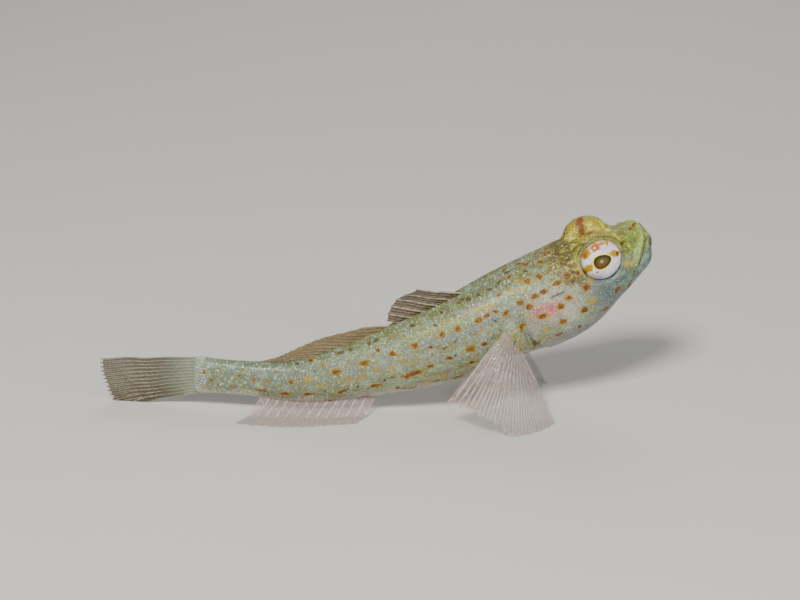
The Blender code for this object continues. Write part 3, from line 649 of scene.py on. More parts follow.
def anal(u, t):
    """The anal fin, pressed between the belly and the floor and laid out on the floor to the right."""
    s = ANAL_FRONT + (ANAL_REAR - ANAL_FRONT) * u
    root = body(s, pi, grow=-0.9)
    _, ahead, _, right = frame_one(s)
    reach = ANAL_LENGTH * (0.82 + 0.18 * sin(pi * u)) * t
    p = root + (right * 0.8 - ahead * 0.52) * reach[:, None]
    p[:, 2] = root[2] - (root[2] - SOLID_Z) * np.minimum(1.0, 1.9 * t) ** 0.8
    return p


def pelvic(u, t):
    """The sucking disc of the joined pelvic fins, from the breast down and back to the floor."""
    v = 2 * u - 1
    root = body(PELVIC_ROOT_S - 0.5 * abs(v), pi, grow=-0.9)
    rear_x = PELVIC_REAR_X + ORIGIN_SHIFT[0] + 2.4 * v**2
    fall = np.minimum(1.0, t / 0.74)
    x = root[0] + (rear_x - root[0]) * t
    y = root[1] + v * (1.5 + (PELVIC_HALF - 1.5) * np.minimum(1.0, 1.25 * t))
    rise = 1.1 * v**2 * np.sin(pi * np.minimum(1.0, t * 1.12))
    z = SOLID_Z + (root[2] - SOLID_Z) * (1 - fall**1.25) + rise
    return np.column_stack((x, y, np.maximum(z, SOLID_Z)))


def pectoral(side):
    """A breast fin propped on the floor."""
    spot, axes = fin_lobe(side)
    middle = frame_one(LOBE_S)[0]

    def point(u, t):
        root = spot + axes[1] * (FAN_TOP + (FAN_BOTTOM - FAN_TOP) * u) + axes[2] * 0.2
        swell = sin(pi * min(u, 1.0)) ** 0.8 if 0 < u < 1 else 0.0
        x = FAN_REAR[0] + (FAN_FRONT[0] - FAN_REAR[0]) * u**0.8 + ORIGIN_SHIFT[0]
        y = middle[1] - side * (FAN_REAR[1] + (FAN_FRONT[1] - FAN_REAR[1]) * u + FAN_SWELL * swell)
        z = FAN_REAR[2] + (FAN_FRONT[2] - FAN_REAR[2]) * min(1.0, 1.9 * u)
        p = root + (np.array((x, y, z)) - root) * t[:, None]
        bow = np.sin(pi * t) * (0.9 + 0.7 * swell)
        p += np.array((0.0, -side * 0.75, 0.35)) * bow[:, None]
        p[:, 2] -= t**6 * min(1.0, max(0.0, (u - 0.35) / 0.2))
        p[:, 2] = np.maximum(p[:, 2], SOLID_Z)
        return p

    return point


def ray_shares(count, forks, u, t):
    """How much of a ray there is at each place: rays are even along u and fork towards their tips."""
    x = (u * (count - 1))[:, None]
    off = x - np.round(x)
    t = t[None, :]
    spread = [0.0 * t]
    width = RAY_WIDTH + 0.0 * t
    for level, start in enumerate(forks):
        apart = FORK_APART / 2**level * smooth(start, start + 0.5, t)
        spread = [offset + sign * apart for offset in spread for sign in (1, -1)]
        width = width - 0.035 / 2**level * smooth(start, start + 0.3, t)
    return np.max([bell(off - offset, width) for offset in spread], axis=0)


def make_fin(
    name, node, count, forks, point, material, sizes, columns=8, rows=56, notch=0.035, lies=False
):
    """A thin fin: a web between two faces, with its rays raised on both, closed round its edge."""
    wide = (count - 1) * columns
    bm = bmesh.new()
    layers = {key: bm.verts.layers.float.new(key) for key in ("ray", "reach", "root")}
    bmesh.ops.create_grid(bm, x_segments=wide, y_segments=rows, size=0.5)
    u_of = [v.co.x + 0.5 for v in bm.verts]
    t_of = [v.co.y + 0.5 for v in bm.verts]
    u, t = np.linspace(0, 1, wide + 1), np.linspace(0, 1, rows + 1)
    shares = ray_shares(count, forks, u, t)
    tips = ray_shares(count, (), u, t)[:, -1]
    centre = np.array([point(a, t * (1 - notch * (1 - b))) for a, b in zip(u, tips)])
    centre += 0.05 * (waves(centre, 3.5, 51) * smooth(0.15, 0.6, t))[..., None]
    if lies:
        low = np.clip((centre[..., 2] - SOLID_Z) / (LIFT_Z - SOLID_Z), 0, 1)
        centre[..., 2] = np.where(low < 1, FLAT_Z + low * (LIFT_Z - FLAT_Z), centre[..., 2])
    normal = unit(np.cross(np.gradient(centre, axis=0), np.gradient(centre, axis=1)))
    thin = 1 - TIP_THINNING * t**1.5
    segments = 1 - 0.16 * (np.cos(2 * pi * t * rows / 4.0) > 0.6) * (t > 0.2)
    half = 0.5 * (sizes.web_thickness + (sizes.ray_thickness - sizes.web_thickness) * shares * segments)
    half = (half / MM * thin)[..., None]
    front = list(bm.verts)
    made = bmesh.ops.duplicate(bm, geom=bm.verts[:] + bm.edges[:] + bm.faces[:])
    back = [made["vert_map"][v] for v in front]
    bmesh.ops.reverse_faces(bm, faces=[f for f in made["geom"] if isinstance(f, bmesh.types.BMFace)])
    for verts, sign in ((front, 1), (back, -1)):
        face = centre + sign * half * normal
        face[..., 2] = np.maximum(face[..., 2], FLOOR_GAP)
        for vert, a, b in zip(verts, u_of, t_of):
            i, j = round(a * wide), round(b * rows)
            vert.co = Vector(face[i, j] * MM)
            vert[layers["ray"]] = shares[i, j]
            vert[layers["reach"]] = t[j]
            vert[layers["root"]] = u[i]
    rim = [e for e in bm.edges if e.is_boundary]
    bmesh.ops.bridge_loops(bm, edges=rim)
    bmesh.ops.recalc_face_normals(bm, faces=bm.faces)
    return finish_piece(name, bm, material, "fin", node)


def finish_piece(name, bm, material, slot, *nodes):
    """Makes a bmesh an object of the goby that rides on its body and stands for its solids."""
    mesh = bpy.data.meshes.new(name)
    bm.to_mesh(mesh)
    bm.free()
    mesh.shade_smooth()
    mesh.materials.append(material)
    obj = bpy.data.objects.new(name, mesh)
    bpy.context.scene.collection.objects.link(obj)
    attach(obj, BODY)
    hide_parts(*nodes)
    return obj


def make_skin(sizes, material):
    """One closed skin over head, trunk and tail stem: relief in the mesh, colours by masks."""
    place = Places()
    along, rows = scale_lattice(place, sizes.scale_pitch / MM)
    masks = skin_masks(place)
    relief = masks["scaled"] * (sizes.scale_relief / MM) * scale_height(along, rows)
    relief += head_relief(place) + 0.07 * masks["ray_root"]
    points = place.points + grid_normals(place.points) * relief[..., None]
    points = set_eyes_in(points)
    masks.update(scale_along=along, scale_rows=rows)
    bm = bmesh.new()
    bmesh.ops.create_uvsphere(bm, u_segments=SKIN_ROUND, v_segments=SKIN_ROWS, radius=1.0)
    way = np.array([v.co for v in bm.verts])
    row = np.round((np.arcsin(np.clip(way[:, 2], -1, 1)) / pi + 0.5) * SKIN_ROWS).astype(int)
    turn = np.arctan2(way[:, 1], way[:, 0]) / (2 * pi)
    column = np.round(turn * SKIN_ROUND).astype(int) % SKIN_ROUND
    for vert, p in zip(bm.verts, points[row, column] * MM):
        vert.co = p
    bmesh.ops.recalc_face_normals(bm, faces=bm.faces)
    skin = finish_piece("skin", bm, material, "skin", "head", "trunk", "tail_stem")
    for key, grid in masks.items():
        values = np.broadcast_to(grid, place.s2.shape)[row, column].astype(np.float32)
        skin.data.attributes.new(key, "FLOAT", "POINT").data.foreach_set("value", values)
    return skin


def make_eyeball(name, node, side, material):
    """A glossy eyeball; its iris is drawn by the distances ahead and up from the line of sight."""
    centre, axes = eye_place(side)
    bm = bmesh.new()
    ahead, lift = (bm.verts.layers.float.new(key) for key in ("eye_ahead", "eye_lift"))
    bmesh.ops.create_uvsphere(bm, u_segments=EYE_ROUND, v_segments=EYE_RINGS, radius=1.0)
    for vert in bm.verts:
        vert[ahead], vert[lift] = vert.co.x, vert.co.y
    turn = Matrix([list(a) for a in axes]).transposed().to_4x4()
    scale = Matrix.Diagonal((EYE_RADIUS * MM, EYE_RADIUS * MM, EYE_DEPTH * MM, 1.0))
    moved = Matrix.Translation(Vector(centre * MM))
    bmesh.ops.transform(bm, matrix=moved @ turn @ scale, verts=bm.verts)
    bmesh.ops.recalc_face_normals(bm, faces=bm.faces)
    return finish_piece(name, bm, material, "eye", node)


# Materials
class Tree:
    """Short ways to place nodes in a node tree."""

    def __init__(self, tree):
        self.tree = tree

    def node(self, kind, *values, **settings):
        node = self.tree.nodes.new(kind)
        for key, value in settings.items():
            setattr(node, key, value)
        for socket, value in zip(node.inputs, values):
            self.put(socket, value)
        return node

    def put(self, socket, value):
        if isinstance(value, bpy.types.NodeSocket):
            self.tree.links.new(value, socket)
        else:
            socket.default_value = (*value, 1.0) if socket.type == "RGBA" else value

    def math(self, operation, *values, clamp=False):
        return self.node("ShaderNodeMath", *values, operation=operation, use_clamp=clamp).outputs[0]

    def times(self, first, *others):
        """The product of all the values."""
        for value in others:
            first = self.math("MULTIPLY", first, value)
        return first

    def distance(self, x, y):
        return self.math("SQRT", self.math("ADD", self.times(x, x), self.times(y, y)))

    def mask(self, name):
        return self.node("ShaderNodeAttribute", attribute_name=name).outputs["Fac"]

    def step(self, low, high, value):
        """0 below low and 1 above high, with an S between."""
        made = self.node("ShaderNodeMapRange", value, low, high, interpolation_type="SMOOTHSTEP")
        return made.outputs[0]

    def mix(self, share, a, b, blend="MIX"):
        node = self.tree.nodes.new("ShaderNodeMix")
        node.data_type, node.blend_type = "RGBA", blend
        self.put(node.inputs["Factor"], share)
        self.put(node.inputs[6], a)
        self.put(node.inputs[7], b)
        return node.outputs[2]

    def shaded(self, colour, tone):
        """A colour made darker or lighter by a tone around 1."""
        grey = self.node("ShaderNodeCombineColor", tone, tone, tone).outputs[0]
        return self.mix(1.0, colour, grey, "MULTIPLY")

    def group(self, name, **values):
        node = self.tree.nodes.new("ShaderNodeGroup")
        node.node_tree = bpy.data.node_groups[name]
        for key, value in values.items():
            self.put(node.inputs[key.replace("_", " ").capitalize()], value)
        return node.outputs

    def place(self):
        return self.node("ShaderNodeTexCoord").outputs["Object"]

    def vector(self, operation, *values, scale=None):
        node = self.node("ShaderNodeVectorMath", *values, operation=operation)
        if scale:
            self.put(node.inputs["Scale"], scale)
        return node.outputs[0]

    def texture(self, kind, where=None, **inputs):
        node = self.tree.nodes.new(kind)
        self.put(node.inputs["Vector"], where or self.place())
        for key, value in inputs.items():
            self.put(node.inputs[key], value)
        return node.outputs

    def noise(self, size, detail=2.0):
        """Noise with features of that many metres."""
        return self.texture("ShaderNodeTexNoise", Scale=1 / size, Detail=detail)[0]

    def bump(self, strength, distance, height):
        node = self.tree.nodes.new("ShaderNodeBump")
        for key, value in (("Strength", strength), ("Distance", distance), ("Height", height)):
            self.put(node.inputs[key], value)
        return node.outputs[0]


def new_group(name, inputs, outputs):
    """A node group of numbers, or colours where the name says so; returns its Tree and sockets."""
    group = bpy.data.node_groups.new(name, "ShaderNodeTree")
    for way, keys in (("INPUT", inputs), ("OUTPUT", outputs)):
        for key in keys:
            kind = "NodeSocketColor" if key.endswith("olour") else "NodeSocketFloat"
            group.interface.new_socket(key, in_out=way, socket_type=kind)
    tree = Tree(group)
    given = tree.node("NodeGroupInput")
    return tree, given.outputs, tree.node("NodeGroupOutput").inputs


def scale_group():
    """Overlapping scales from the counts along and down the flank: height, free edge, dot and chance."""
    t, given, out = new_group("Scales", ("Along", "Rows"), ("Height", "Edge", "Dot", "Chance"))
    sets = []
    for k in (0.0, 0.5):
        shifted = t.math("SUBTRACT", given["Rows"], k)
        row = t.math("ROUND", shifted)
        y = t.math("SUBTRACT", shifted, row)
        off = t.math("ABSOLUTE", t.math("DIVIDE", y, SCALE_BOW))
        inner = t.math("SUBTRACT", 1.0, t.math("POWER", off, 2.0))
        edge = t.times(0.5, t.math("SQRT", t.math("MAXIMUM", inner, 0.0)))
        ahead = t.math("ADD", t.math("SUBTRACT", given["Along"], k), edge)
        sets.append((t.math("FRACT", ahead), t.math("FLOOR", ahead), t.math("ADD", row, k), y))
    second = t.math("LESS_THAN", sets[1][0], sets[0][0])
    chosen = [t.math("ADD", a, t.times(t.math("SUBTRACT", b, a), second)) for a, b in zip(*sets)]
    depth, number, row, y = chosen
    t.put(out["Height"], t.math("SUBTRACT", 1.0, t.times(depth, SCALE_FALL)))
    t.put(out["Edge"], t.step(0.22, 0.02, depth))
    behind = t.math("SUBTRACT", depth, 0.4)
    off = t.math("ADD", t.times(behind, behind), t.times(y, y, 2.2))
    t.put(out["Dot"], t.step(0.3, 0.12, t.math("SQRT", off)))
    cell = t.node("ShaderNodeCombineXYZ", number, row, second).outputs[0]
    t.put(out["Chance"], t.node("ShaderNodeTexWhiteNoise", cell, noise_dimensions="3D").outputs[0])


def fleck_group():
    """Small ragged flecks strewn at random: a mask of those whose random share is below a limit."""
    t, given, out = new_group("Flecks", ("Size", "Share", "Radius"), ("Flecks",))
    bend = t.texture("ShaderNodeTexNoise", Scale=t.math("DIVIDE", 1.6, given["Size"]))["Color"]
    push = t.vector("SUBTRACT", bend, (0.5, 0.5, 0.5))
    where = t.vector("ADD", t.place(), t.vector("SCALE", push, scale=given["Size"]))
    cells = t.texture("ShaderNodeTexVoronoi", where, Scale=t.math("DIVIDE", 1.0, given["Size"]))
    fleck = t.step(given["Radius"], t.times(given["Radius"], 0.5), cells["Distance"])
    chance = t.node("ShaderNodeSeparateColor", cells["Color"]).outputs[0]
    t.put(out["Flecks"], t.times(fleck, t.math("LESS_THAN", chance, given["Share"])))


def mottle_group():
    """Patches of three sorts that come and go over the skin, and a fine unevenness of tone."""
    sorts = ("First", "Second", "Third")
    t, given, out = new_group("Mottle", ("Size",), (*sorts, "Tone"))
    where = t.vector("MULTIPLY", t.place(), (0.55, 1.0, 1.0))
    scale = t.math("DIVIDE", 1.0, given["Size"])
    patches = t.texture("ShaderNodeTexNoise", where, Scale=scale, Detail=3.0)["Color"]
    for key, share in zip(sorts, t.node("ShaderNodeSeparateColor", patches).outputs):
        t.put(out[key], t.step(0.48, 0.66, share))
    scale = t.math("DIVIDE", 4.0, given["Size"])
    fine = t.texture("ShaderNodeTexNoise", Scale=scale, Detail=2.5, Roughness=0.65)[0]
    t.put(out["Tone"], t.step(0.28, 0.72, fine))


def new_material(name, **plain):
    """A Principled material with these values on its own sockets; returns it, its Tree and its shader."""
    material = bpy.data.materials.new(name)
    material.use_nodes = True
    tree = Tree(material.node_tree)
    shader = material.node_tree.nodes["Principled BSDF"]
    for key, value in plain.items():
        shader.inputs[key.replace("_", " ")].default_value = value
    return material, tree, shader


def skin_ground(t, colours):
    """The ground colours of each region of the skin, with patches that come and go over them."""
    colour = t.mix(t.step(0.35, 0.7, t.noise(0.0032, 3.0)), colours.flank, colours.flank_olive)
    for key, tint, most in (
        ("back", colours.back, 0.85),
        ("tail", colours.tail, 0.6),
        ("belly", colours.belly, 0.85),
        ("throat", colours.throat, 0.8),
        ("cover", colours.cover, 0.6),
        ("cheek", colours.cheek, 0.8),
        ("head", colours.head, 0.95),
        ("snout", colours.snout, 0.9),
        # the lower jaw, bluish grey with painted shade
        ("shaded_jaw", colours.shaded_jaw, 0.85),
        ("band_gold", colours.band_gold, 0.8),
        ("band_blue", colours.band_blue, 0.65),
        ("orbit", colours.orbit, 0.85),
        ("ridge", colours.gold, 0.45),
        ("lip", colours.lip, 0.9),
        ("blush", colours.blush, 0.6),
        ("flush", colours.flush, 0.85),
        ("tail_end", colours.flank, 0.8),
        ("ray_root", colours.fin_ray, 0.4),
    ):
        colour = t.mix(t.times(t.mask(key), most), colour, tint)

    crown = t.math("MAXIMUM", t.mask("head"), t.mask("orbit"))
    mottle = t.group("Mottle", size=0.0007)
    pale = t.mix(t.mask("belly"), colours.band_blue, colours.beige)
    shaded = t.mix(t.mask("back"), colours.lilac, colours.flank_olive)
    for key, flank_tint, crown_tint, most in (
        ("First", colours.mint, colours.lip, 0.42),
        ("Second", shaded, colours.back, 0.38),
        ("Third", pale, colours.orbit, 0.32),
    ):
        tint = t.mix(crown, flank_tint, crown_tint)
        colour = t.mix(t.times(mottle[key], most), colour, tint)
    return colour, crown, mottle["Tone"]


def add_scales(t, colours, colour, crown, tone, scales):
    """The outlines, dots and glints of the scales, then flecks all over."""
    scaled, dotted, shine = t.mask("scaled"), t.mask("dotted"), t.mask("shine")
    colour = t.mix(t.times(scales["Edge"], scaled, 0.3), colour, colours.scale_edge)
    often = t.times(t.step(0.1, 0.5, scales["Chance"]), scaled, dotted)
    dots = t.times(scales["Dot"], often, t.step(0.34, 0.5, t.noise(0.0003)), 0.95)
    colour = t.mix(dots, colour, colours.fleck)
    lit = t.times(t.step(0.45, 0.95, scales["Edge"]), t.step(0.52, 0.66, t.noise(0.0004)), scaled)
    lit = t.times(lit, t.math("MULTIPLY_ADD", shine, 0.55, 0.08))
    colour = t.mix(lit, colour, colours.glint)
    for size, share, radius, most, tint, where in (
        (0.00045, 0.4, 0.34, 0.55, colours.fleck, None),
        (0.00036, 0.22, 0.3, 0.7, colours.dark, None),
        (0.0003, 0.68, 0.42, 0.85, colours.dark, crown),
        (0.00032, 0.35, 0.34, 0.4, colours.mint, crown),
        (0.0004, 0.2, 0.3, 0.75, colours.glint, shine),
        (0.00026, 0.22, 0.34, 0.6, colours.glint, None),
        (0.0003, 0.3, 0.36, 0.7, colours.fleck, dotted),
    ):
        flecks = t.times(t.group("Flecks", size=size, share=share, radius=radius)[0], most)
        colour = t.mix(t.times(flecks, where) if where else flecks, colour, tint)
    return t.shaded(colour, t.math("MULTIPLY_ADD", tone, 0.8, 0.6))


def add_marks(t, colours, colour):
    """Spots with a halo and a dark core, then streaks, the orbit's bar, the eye's fold and dark lines,
    some of them painted shade.
    """
    ragged = t.noise(0.0003)
    bend = t.texture("ShaderNodeTexNoise", Scale=1 / 0.0005, Detail=3.0)["Color"]
    pushes = t.node("ShaderNodeSeparateColor", bend).outputs
    moved = [
        t.math("ADD", t.mask(key), t.math("MULTIPLY_ADD", push, 2.2, -1.1))
        for key, push in zip(("across_mark", "down_mark"), pushes)
    ]
    far = t.distance(*moved)
    halo = t.times(t.step(2.0, 0.9, far), t.math("MULTIPLY_ADD", t.step(0.4, 0.6, ragged), 0.5, 0.3))
    for key, most in (("gold", 1.0), ("faint", 0.5), ("olive", 0.5), ("orange", 1.0), ("brown", 1.0)):
        colour = t.mix(t.times(halo, t.mask(key), most), colour, colours.spot_halo)
    inside = t.step(1.3, 0.75, far)
    grains = t.step(0.4, 0.6, t.noise(0.0002))
    strewn = t.times(inside, t.math("MULTIPLY_ADD", grains, 0.8, 0.2))
    for key, tint, filled, most in (
        ("gold", colours.gold, strewn, 0.75),
        ("faint", colours.spot_faint, strewn, 0.5),
        ("olive", colours.spot_olive, strewn, 0.75),
        ("orange", colours.spot_orange, inside, 0.95),
        ("brown", colours.spot_brown, inside, 0.95),
        ("dark", colours.spot_dark, inside, 0.9),
        ("pore", colours.dark, inside, 0.9),
    ):
        colour = t.mix(t.times(filled, t.mask(key), most), colour, tint)
    core = t.times(t.step(1.05, 0.5, far), t.step(0.45, 0.56, ragged))
    cored = t.math("ADD", t.mask("orange"), t.mask("brown"), clamp=True)
    colour = t.mix(t.times(core, cored, 0.75), colour, colours.spot_core)
    for key, tint, most in (
        ("streak", colours.gold, 0.6),
        ("bar", colours.bar, 0.97),
        ("rim", colours.rim, 0.4),
        # The dark lines: the head's own dark lines, with painted shade along the mouth slit and over each
        # eye.
        ("line", colours.dark, 0.9),
    ):
        broken = t.times(t.mask(key), t.math("MULTIPLY_ADD", ragged, 1.6, 0.3), most)
        colour = t.mix(t.math("MINIMUM", broken, most), colour, tint)
    return colour


def skin_material(colours):
    """Wet, slightly clear skin with scales and spots."""
    material, t, shader = new_material(
        "goby skin", Coat_Weight=0.08, Coat_Roughness=0.14, Specular_IOR_Level=0.32,
        Subsurface_Weight=0.05, Subsurface_Scale=0.0004,
    )
    scales = t.group("Scales", along=t.mask("scale_along"), rows=t.mask("scale_rows"))
    colour, crown, tone = skin_ground(t, colours)
    colour = add_scales(t, colours, colour, crown, tone, scales)
    t.put(shader.inputs["Base Color"], add_marks(t, colours, colour))
    grain = t.noise(0.0002)
    t.put(shader.inputs["Roughness"], t.math("MULTIPLY_ADD", grain, 0.5, 0.2))
    height = t.math("ADD", t.times(scales["Height"], t.mask("scaled"), 0.3), grain)
    t.put(shader.inputs["Normal"], t.bump(1.0, 0.0001, height))
    return material


# Patches of the iris in shares of its radius: middle ahead and up, turn in degrees, half sizes, colour
IRIS_PATCHES = (
    (-0.56, -0.47, -50, 0.3, 0.12, "iris_shade"),
    (0.28, 0.6, -28, 0.3, 0.09, "iris_shade"),
    (-0.26, 0.92, 12, 0.16, 0.06, "iris_shade"),
    (-0.5, 0.69, 37, 0.25, 0.14, "iris_gold"),
    (-0.58, 0.67, 40, 0.2, 0.07, "iris_orange"),
    (-0.66, 0.68, 44, 0.17, 0.07, "iris_brown"),
    (0.3, 0.8, -20, 0.26, 0.055, "iris_gold"),
    (-0.04, 0.79, -4, 0.25, 0.13, "iris_orange"),
    (0.57, 0.72, 51, 0.15, 0.07, "iris_gold"),
    (0.02, 0.95, 0, 0.08, 0.05, "iris_gold"),
    (0.62, 0.15, -41, 0.32, 0.17, "iris_gold"),
    (0.79, 0.02, 80, 0.14, 0.07, "iris_brown"),
    (-0.74, 0.02, 29, 0.31, 0.18, "iris_gold"),
    (-0.93, -0.12, -75, 0.16, 0.07, "iris_brown"),
    (-0.43, -0.27, 30, 0.1, 0.06, "iris_gold"),
)
PUPIL_AHEAD, PUPIL_UP, PUPIL_TILT = -0.01, 0.11, radians(-3)
PUPIL_WIDE, PUPIL_TALL, PUPIL_POINT = 0.42, 0.32, 0.2


def eye_material(colours):
    """A silvery iris with gold patches, a yellow ring round a dark pupil with a painted reflection in it,
    under a clear glossy coat.
    """
    material, t, shader = new_material(
        "goby eye", Coat_Weight=0.25, Coat_Roughness=0.04, Roughness=0.45, Specular_IOR_Level=0.12
    )
    ahead, lift = t.mask("eye_ahead"), t.mask("eye_lift")
    mottle = t.group("Mottle", size=0.0007)
    ragged = t.noise(0.0005, 3.0)
    colour = t.mix(t.times(mottle["First"], 0.7), colours.iris, colours.iris_shade)
    colour = t.mix(t.times(mottle["Tone"], 0.25), colour, colours.iris_shade)

    def oval(x0, y0, turn, long, high, point=0.0):
        """How far out a place is in a turned oval, with 1 at its edge; point draws its front together."""
        x, y = t.math("SUBTRACT", ahead, x0), t.math("SUBTRACT", lift, y0)
        along = t.math("ADD", t.times(x, cos(turn) / long), t.times(y, sin(turn) / long))
        across = t.math("ADD", t.times(x, -sin(turn) / high), t.times(y, cos(turn) / high))
        if point:
            across = t.times(across, t.math("MULTIPLY_ADD", along, point, 1.0))
        return t.distance(along, across)

    for x0, y0, turn, long, high, tint in IRIS_PATCHES:
        edge = t.math("MULTIPLY_ADD", ragged, 1.2, oval(x0, y0, radians(turn), long, high))
        colour = t.mix(t.step(1.9, 1.25, edge), colour, getattr(colours, tint))
    pupil = oval(PUPIL_AHEAD, PUPIL_UP, PUPIL_TILT, PUPIL_WIDE, PUPIL_TALL, PUPIL_POINT)
    colour = t.mix(t.step(1.26, 1.12, pupil), colour, colours.pupil_ring)
    # The pupil: dark at its edge with a painted glow towards its middle, a reddish brown patch and a
    # painted catchlight, a pale spot near its middle.
    lens = t.mix(t.step(0.95, 0.35, pupil), colours.pupil, colours.pupil_painted_glow)
    warm = oval(PUPIL_AHEAD - 0.18, PUPIL_UP - 0.12, radians(-20), 0.24, 0.13)
    lens = t.mix(t.times(t.step(1.2, 0.2, warm), 0.75), lens, colours.pupil_warm)
    clear = oval(PUPIL_AHEAD - 0.04, PUPIL_UP + 0.04, 0.0, 0.09, 0.08)
    lens = t.mix(t.times(t.step(1.3, 0.2, clear), 0.75), lens, colours.pupil_catchlight)
    colour = t.mix(t.step(1.05, 0.99, pupil), colour, lens)
    edge = t.times(t.step(0.84, 0.99, t.distance(ahead, lift)), 0.85)
    t.put(shader.inputs["Base Color"], t.mix(edge, colour, colours.limb))
    return material


def fin_group():
    """A fin's colour and cover: jointed rays, a clear web, painted highlights on its folds, cross bands
    and a coloured root.
    """
    t, given, out = new_group(
        "Fin web and rays",
        (
            "Ray colour", "Web colour", "Band colour", "Root colour",
            "Ray cover", "Web cover", "Bands", "Root reach", "Pleats",
        ),
        ("Colour", "Cover", "Height"),
    )
    ray, reach, root = t.mask("ray"), t.mask("reach"), t.mask("root")
    fine = t.noise(0.0004, 3.0)
    joints = t.math("SINE", t.times(reach, 190.0))
    core = t.step(0.4, 0.9, ray)
    # Painted highlights on folds of the web: lighter stripes along the root, where the mesh has no folds.
    pleats = t.step(0.2, 1.0, t.math("SINE", t.times(root, given["Pleats"])))
    lit = t.times(core, t.math("MULTIPLY_ADD", joints, 0.12, 0.88))
    lit = t.math("MAXIMUM", lit, t.times(pleats, fine, 0.7))
    colour = t.mix(lit, given["Web colour"], given["Ray colour"])
    drift = t.math("MULTIPLY_ADD", fine, 0.8, t.times(root, 3.0))
    wave = t.math("SINE", t.times(t.math("MULTIPLY_ADD", drift, 0.12, reach), 26.0))
    banded = t.times(t.step(0.35, 0.85, wave), given["Bands"])
    colour = t.mix(banded, colour, given["Band colour"])
    tone = t.step(0.2, 0.8, fine)
    colour = t.shaded(colour, t.math("MULTIPLY_ADD", tone, 0.6, 0.7))
    from_root = t.math("MULTIPLY_ADD", t.math("SUBTRACT", fine, 0.5), 0.4, reach)
    near_root = t.step(given["Root reach"], 0.0, from_root)
    t.put(out["Colour"], t.mix(near_root, colour, given["Root colour"]))
    web = t.math("MULTIPLY_ADD", tone, 0.2, given["Web cover"])
    cover = t.math("MAXIMUM", t.times(core, given["Ray cover"]), web)
    rooted = t.math("MINIMUM", t.times(near_root, 2.0), 1.0)
    t.put(out["Cover"], t.math("MAXIMUM", cover, rooted, clamp=True))
    t.put(out["Height"], t.math("ADD", t.times(joints, core), fine))


def fin_material(name, ray, web, band, root, ray_cover, web_cover, bands, root_reach=0.12, pleats=0.0):
    """Clear skin stretched between jointed rays, in the body's colour at its root."""
    material, t, shader = new_material(name, Coat_Weight=0.15, Roughness=0.38, Subsurface_Weight=0.05)
    made = t.group(
        "Fin web and rays", ray_colour=ray, web_colour=web, band_colour=band, root_colour=root,
        ray_cover=ray_cover, web_cover=web_cover, bands=bands, root_reach=root_reach, pleats=pleats,
    )
    t.put(shader.inputs["Base Color"], made["Colour"])
    t.put(shader.inputs["Alpha"], made["Cover"])
    t.put(shader.inputs["Normal"], t.bump(0.4, 0.00004, made["Height"]))
    return material


# Settings a user would change
def length(name, description, millimetres):
    return bpy.props.FloatProperty(
        name=name, description=description, default=millimetres * MM, min=0.0, precision=6,
        subtype="DISTANCE", unit="LENGTH",
    )


def colour(name, description, red, green, blue):
    """A colour given as it looks on a screen, from 0 to 255, and kept as light."""
    shares = [c / 255 for c in (red, green, blue)]
    light = [((c + 0.055) / 1.055) ** 2.4 if c > 0.04 else c / 12.92 for c in shares]
    return bpy.props.FloatVectorProperty(
        name=name, description=description, default=light, size=3, min=0.0, max=1.0, subtype="COLOR"
    )


class GobySizes(bpy.types.PropertyGroup):
    """Sizes of the fine forms."""

    scale_pitch: length("Scale length", "How much of one scale shows on the shoulder", 1.06)
    scale_relief: length("Scale relief", "How far the free edge of a scale stands up", 0.045)
    web_thickness: length("Web thickness", "Thickness of a fin between its rays", 0.1)
    ray_thickness: length("Ray thickness", "Thickness of a fin across a ray at its root", 0.3)
    camera_distance: length("Camera distance", "From the camera to the middle of the picture", 273.8)
    camera_elevation: bpy.props.FloatProperty(
        name="Camera elevation", description="How far the camera looks down", default=radians(20),
        subtype="ANGLE", unit="ROTATION",
    )


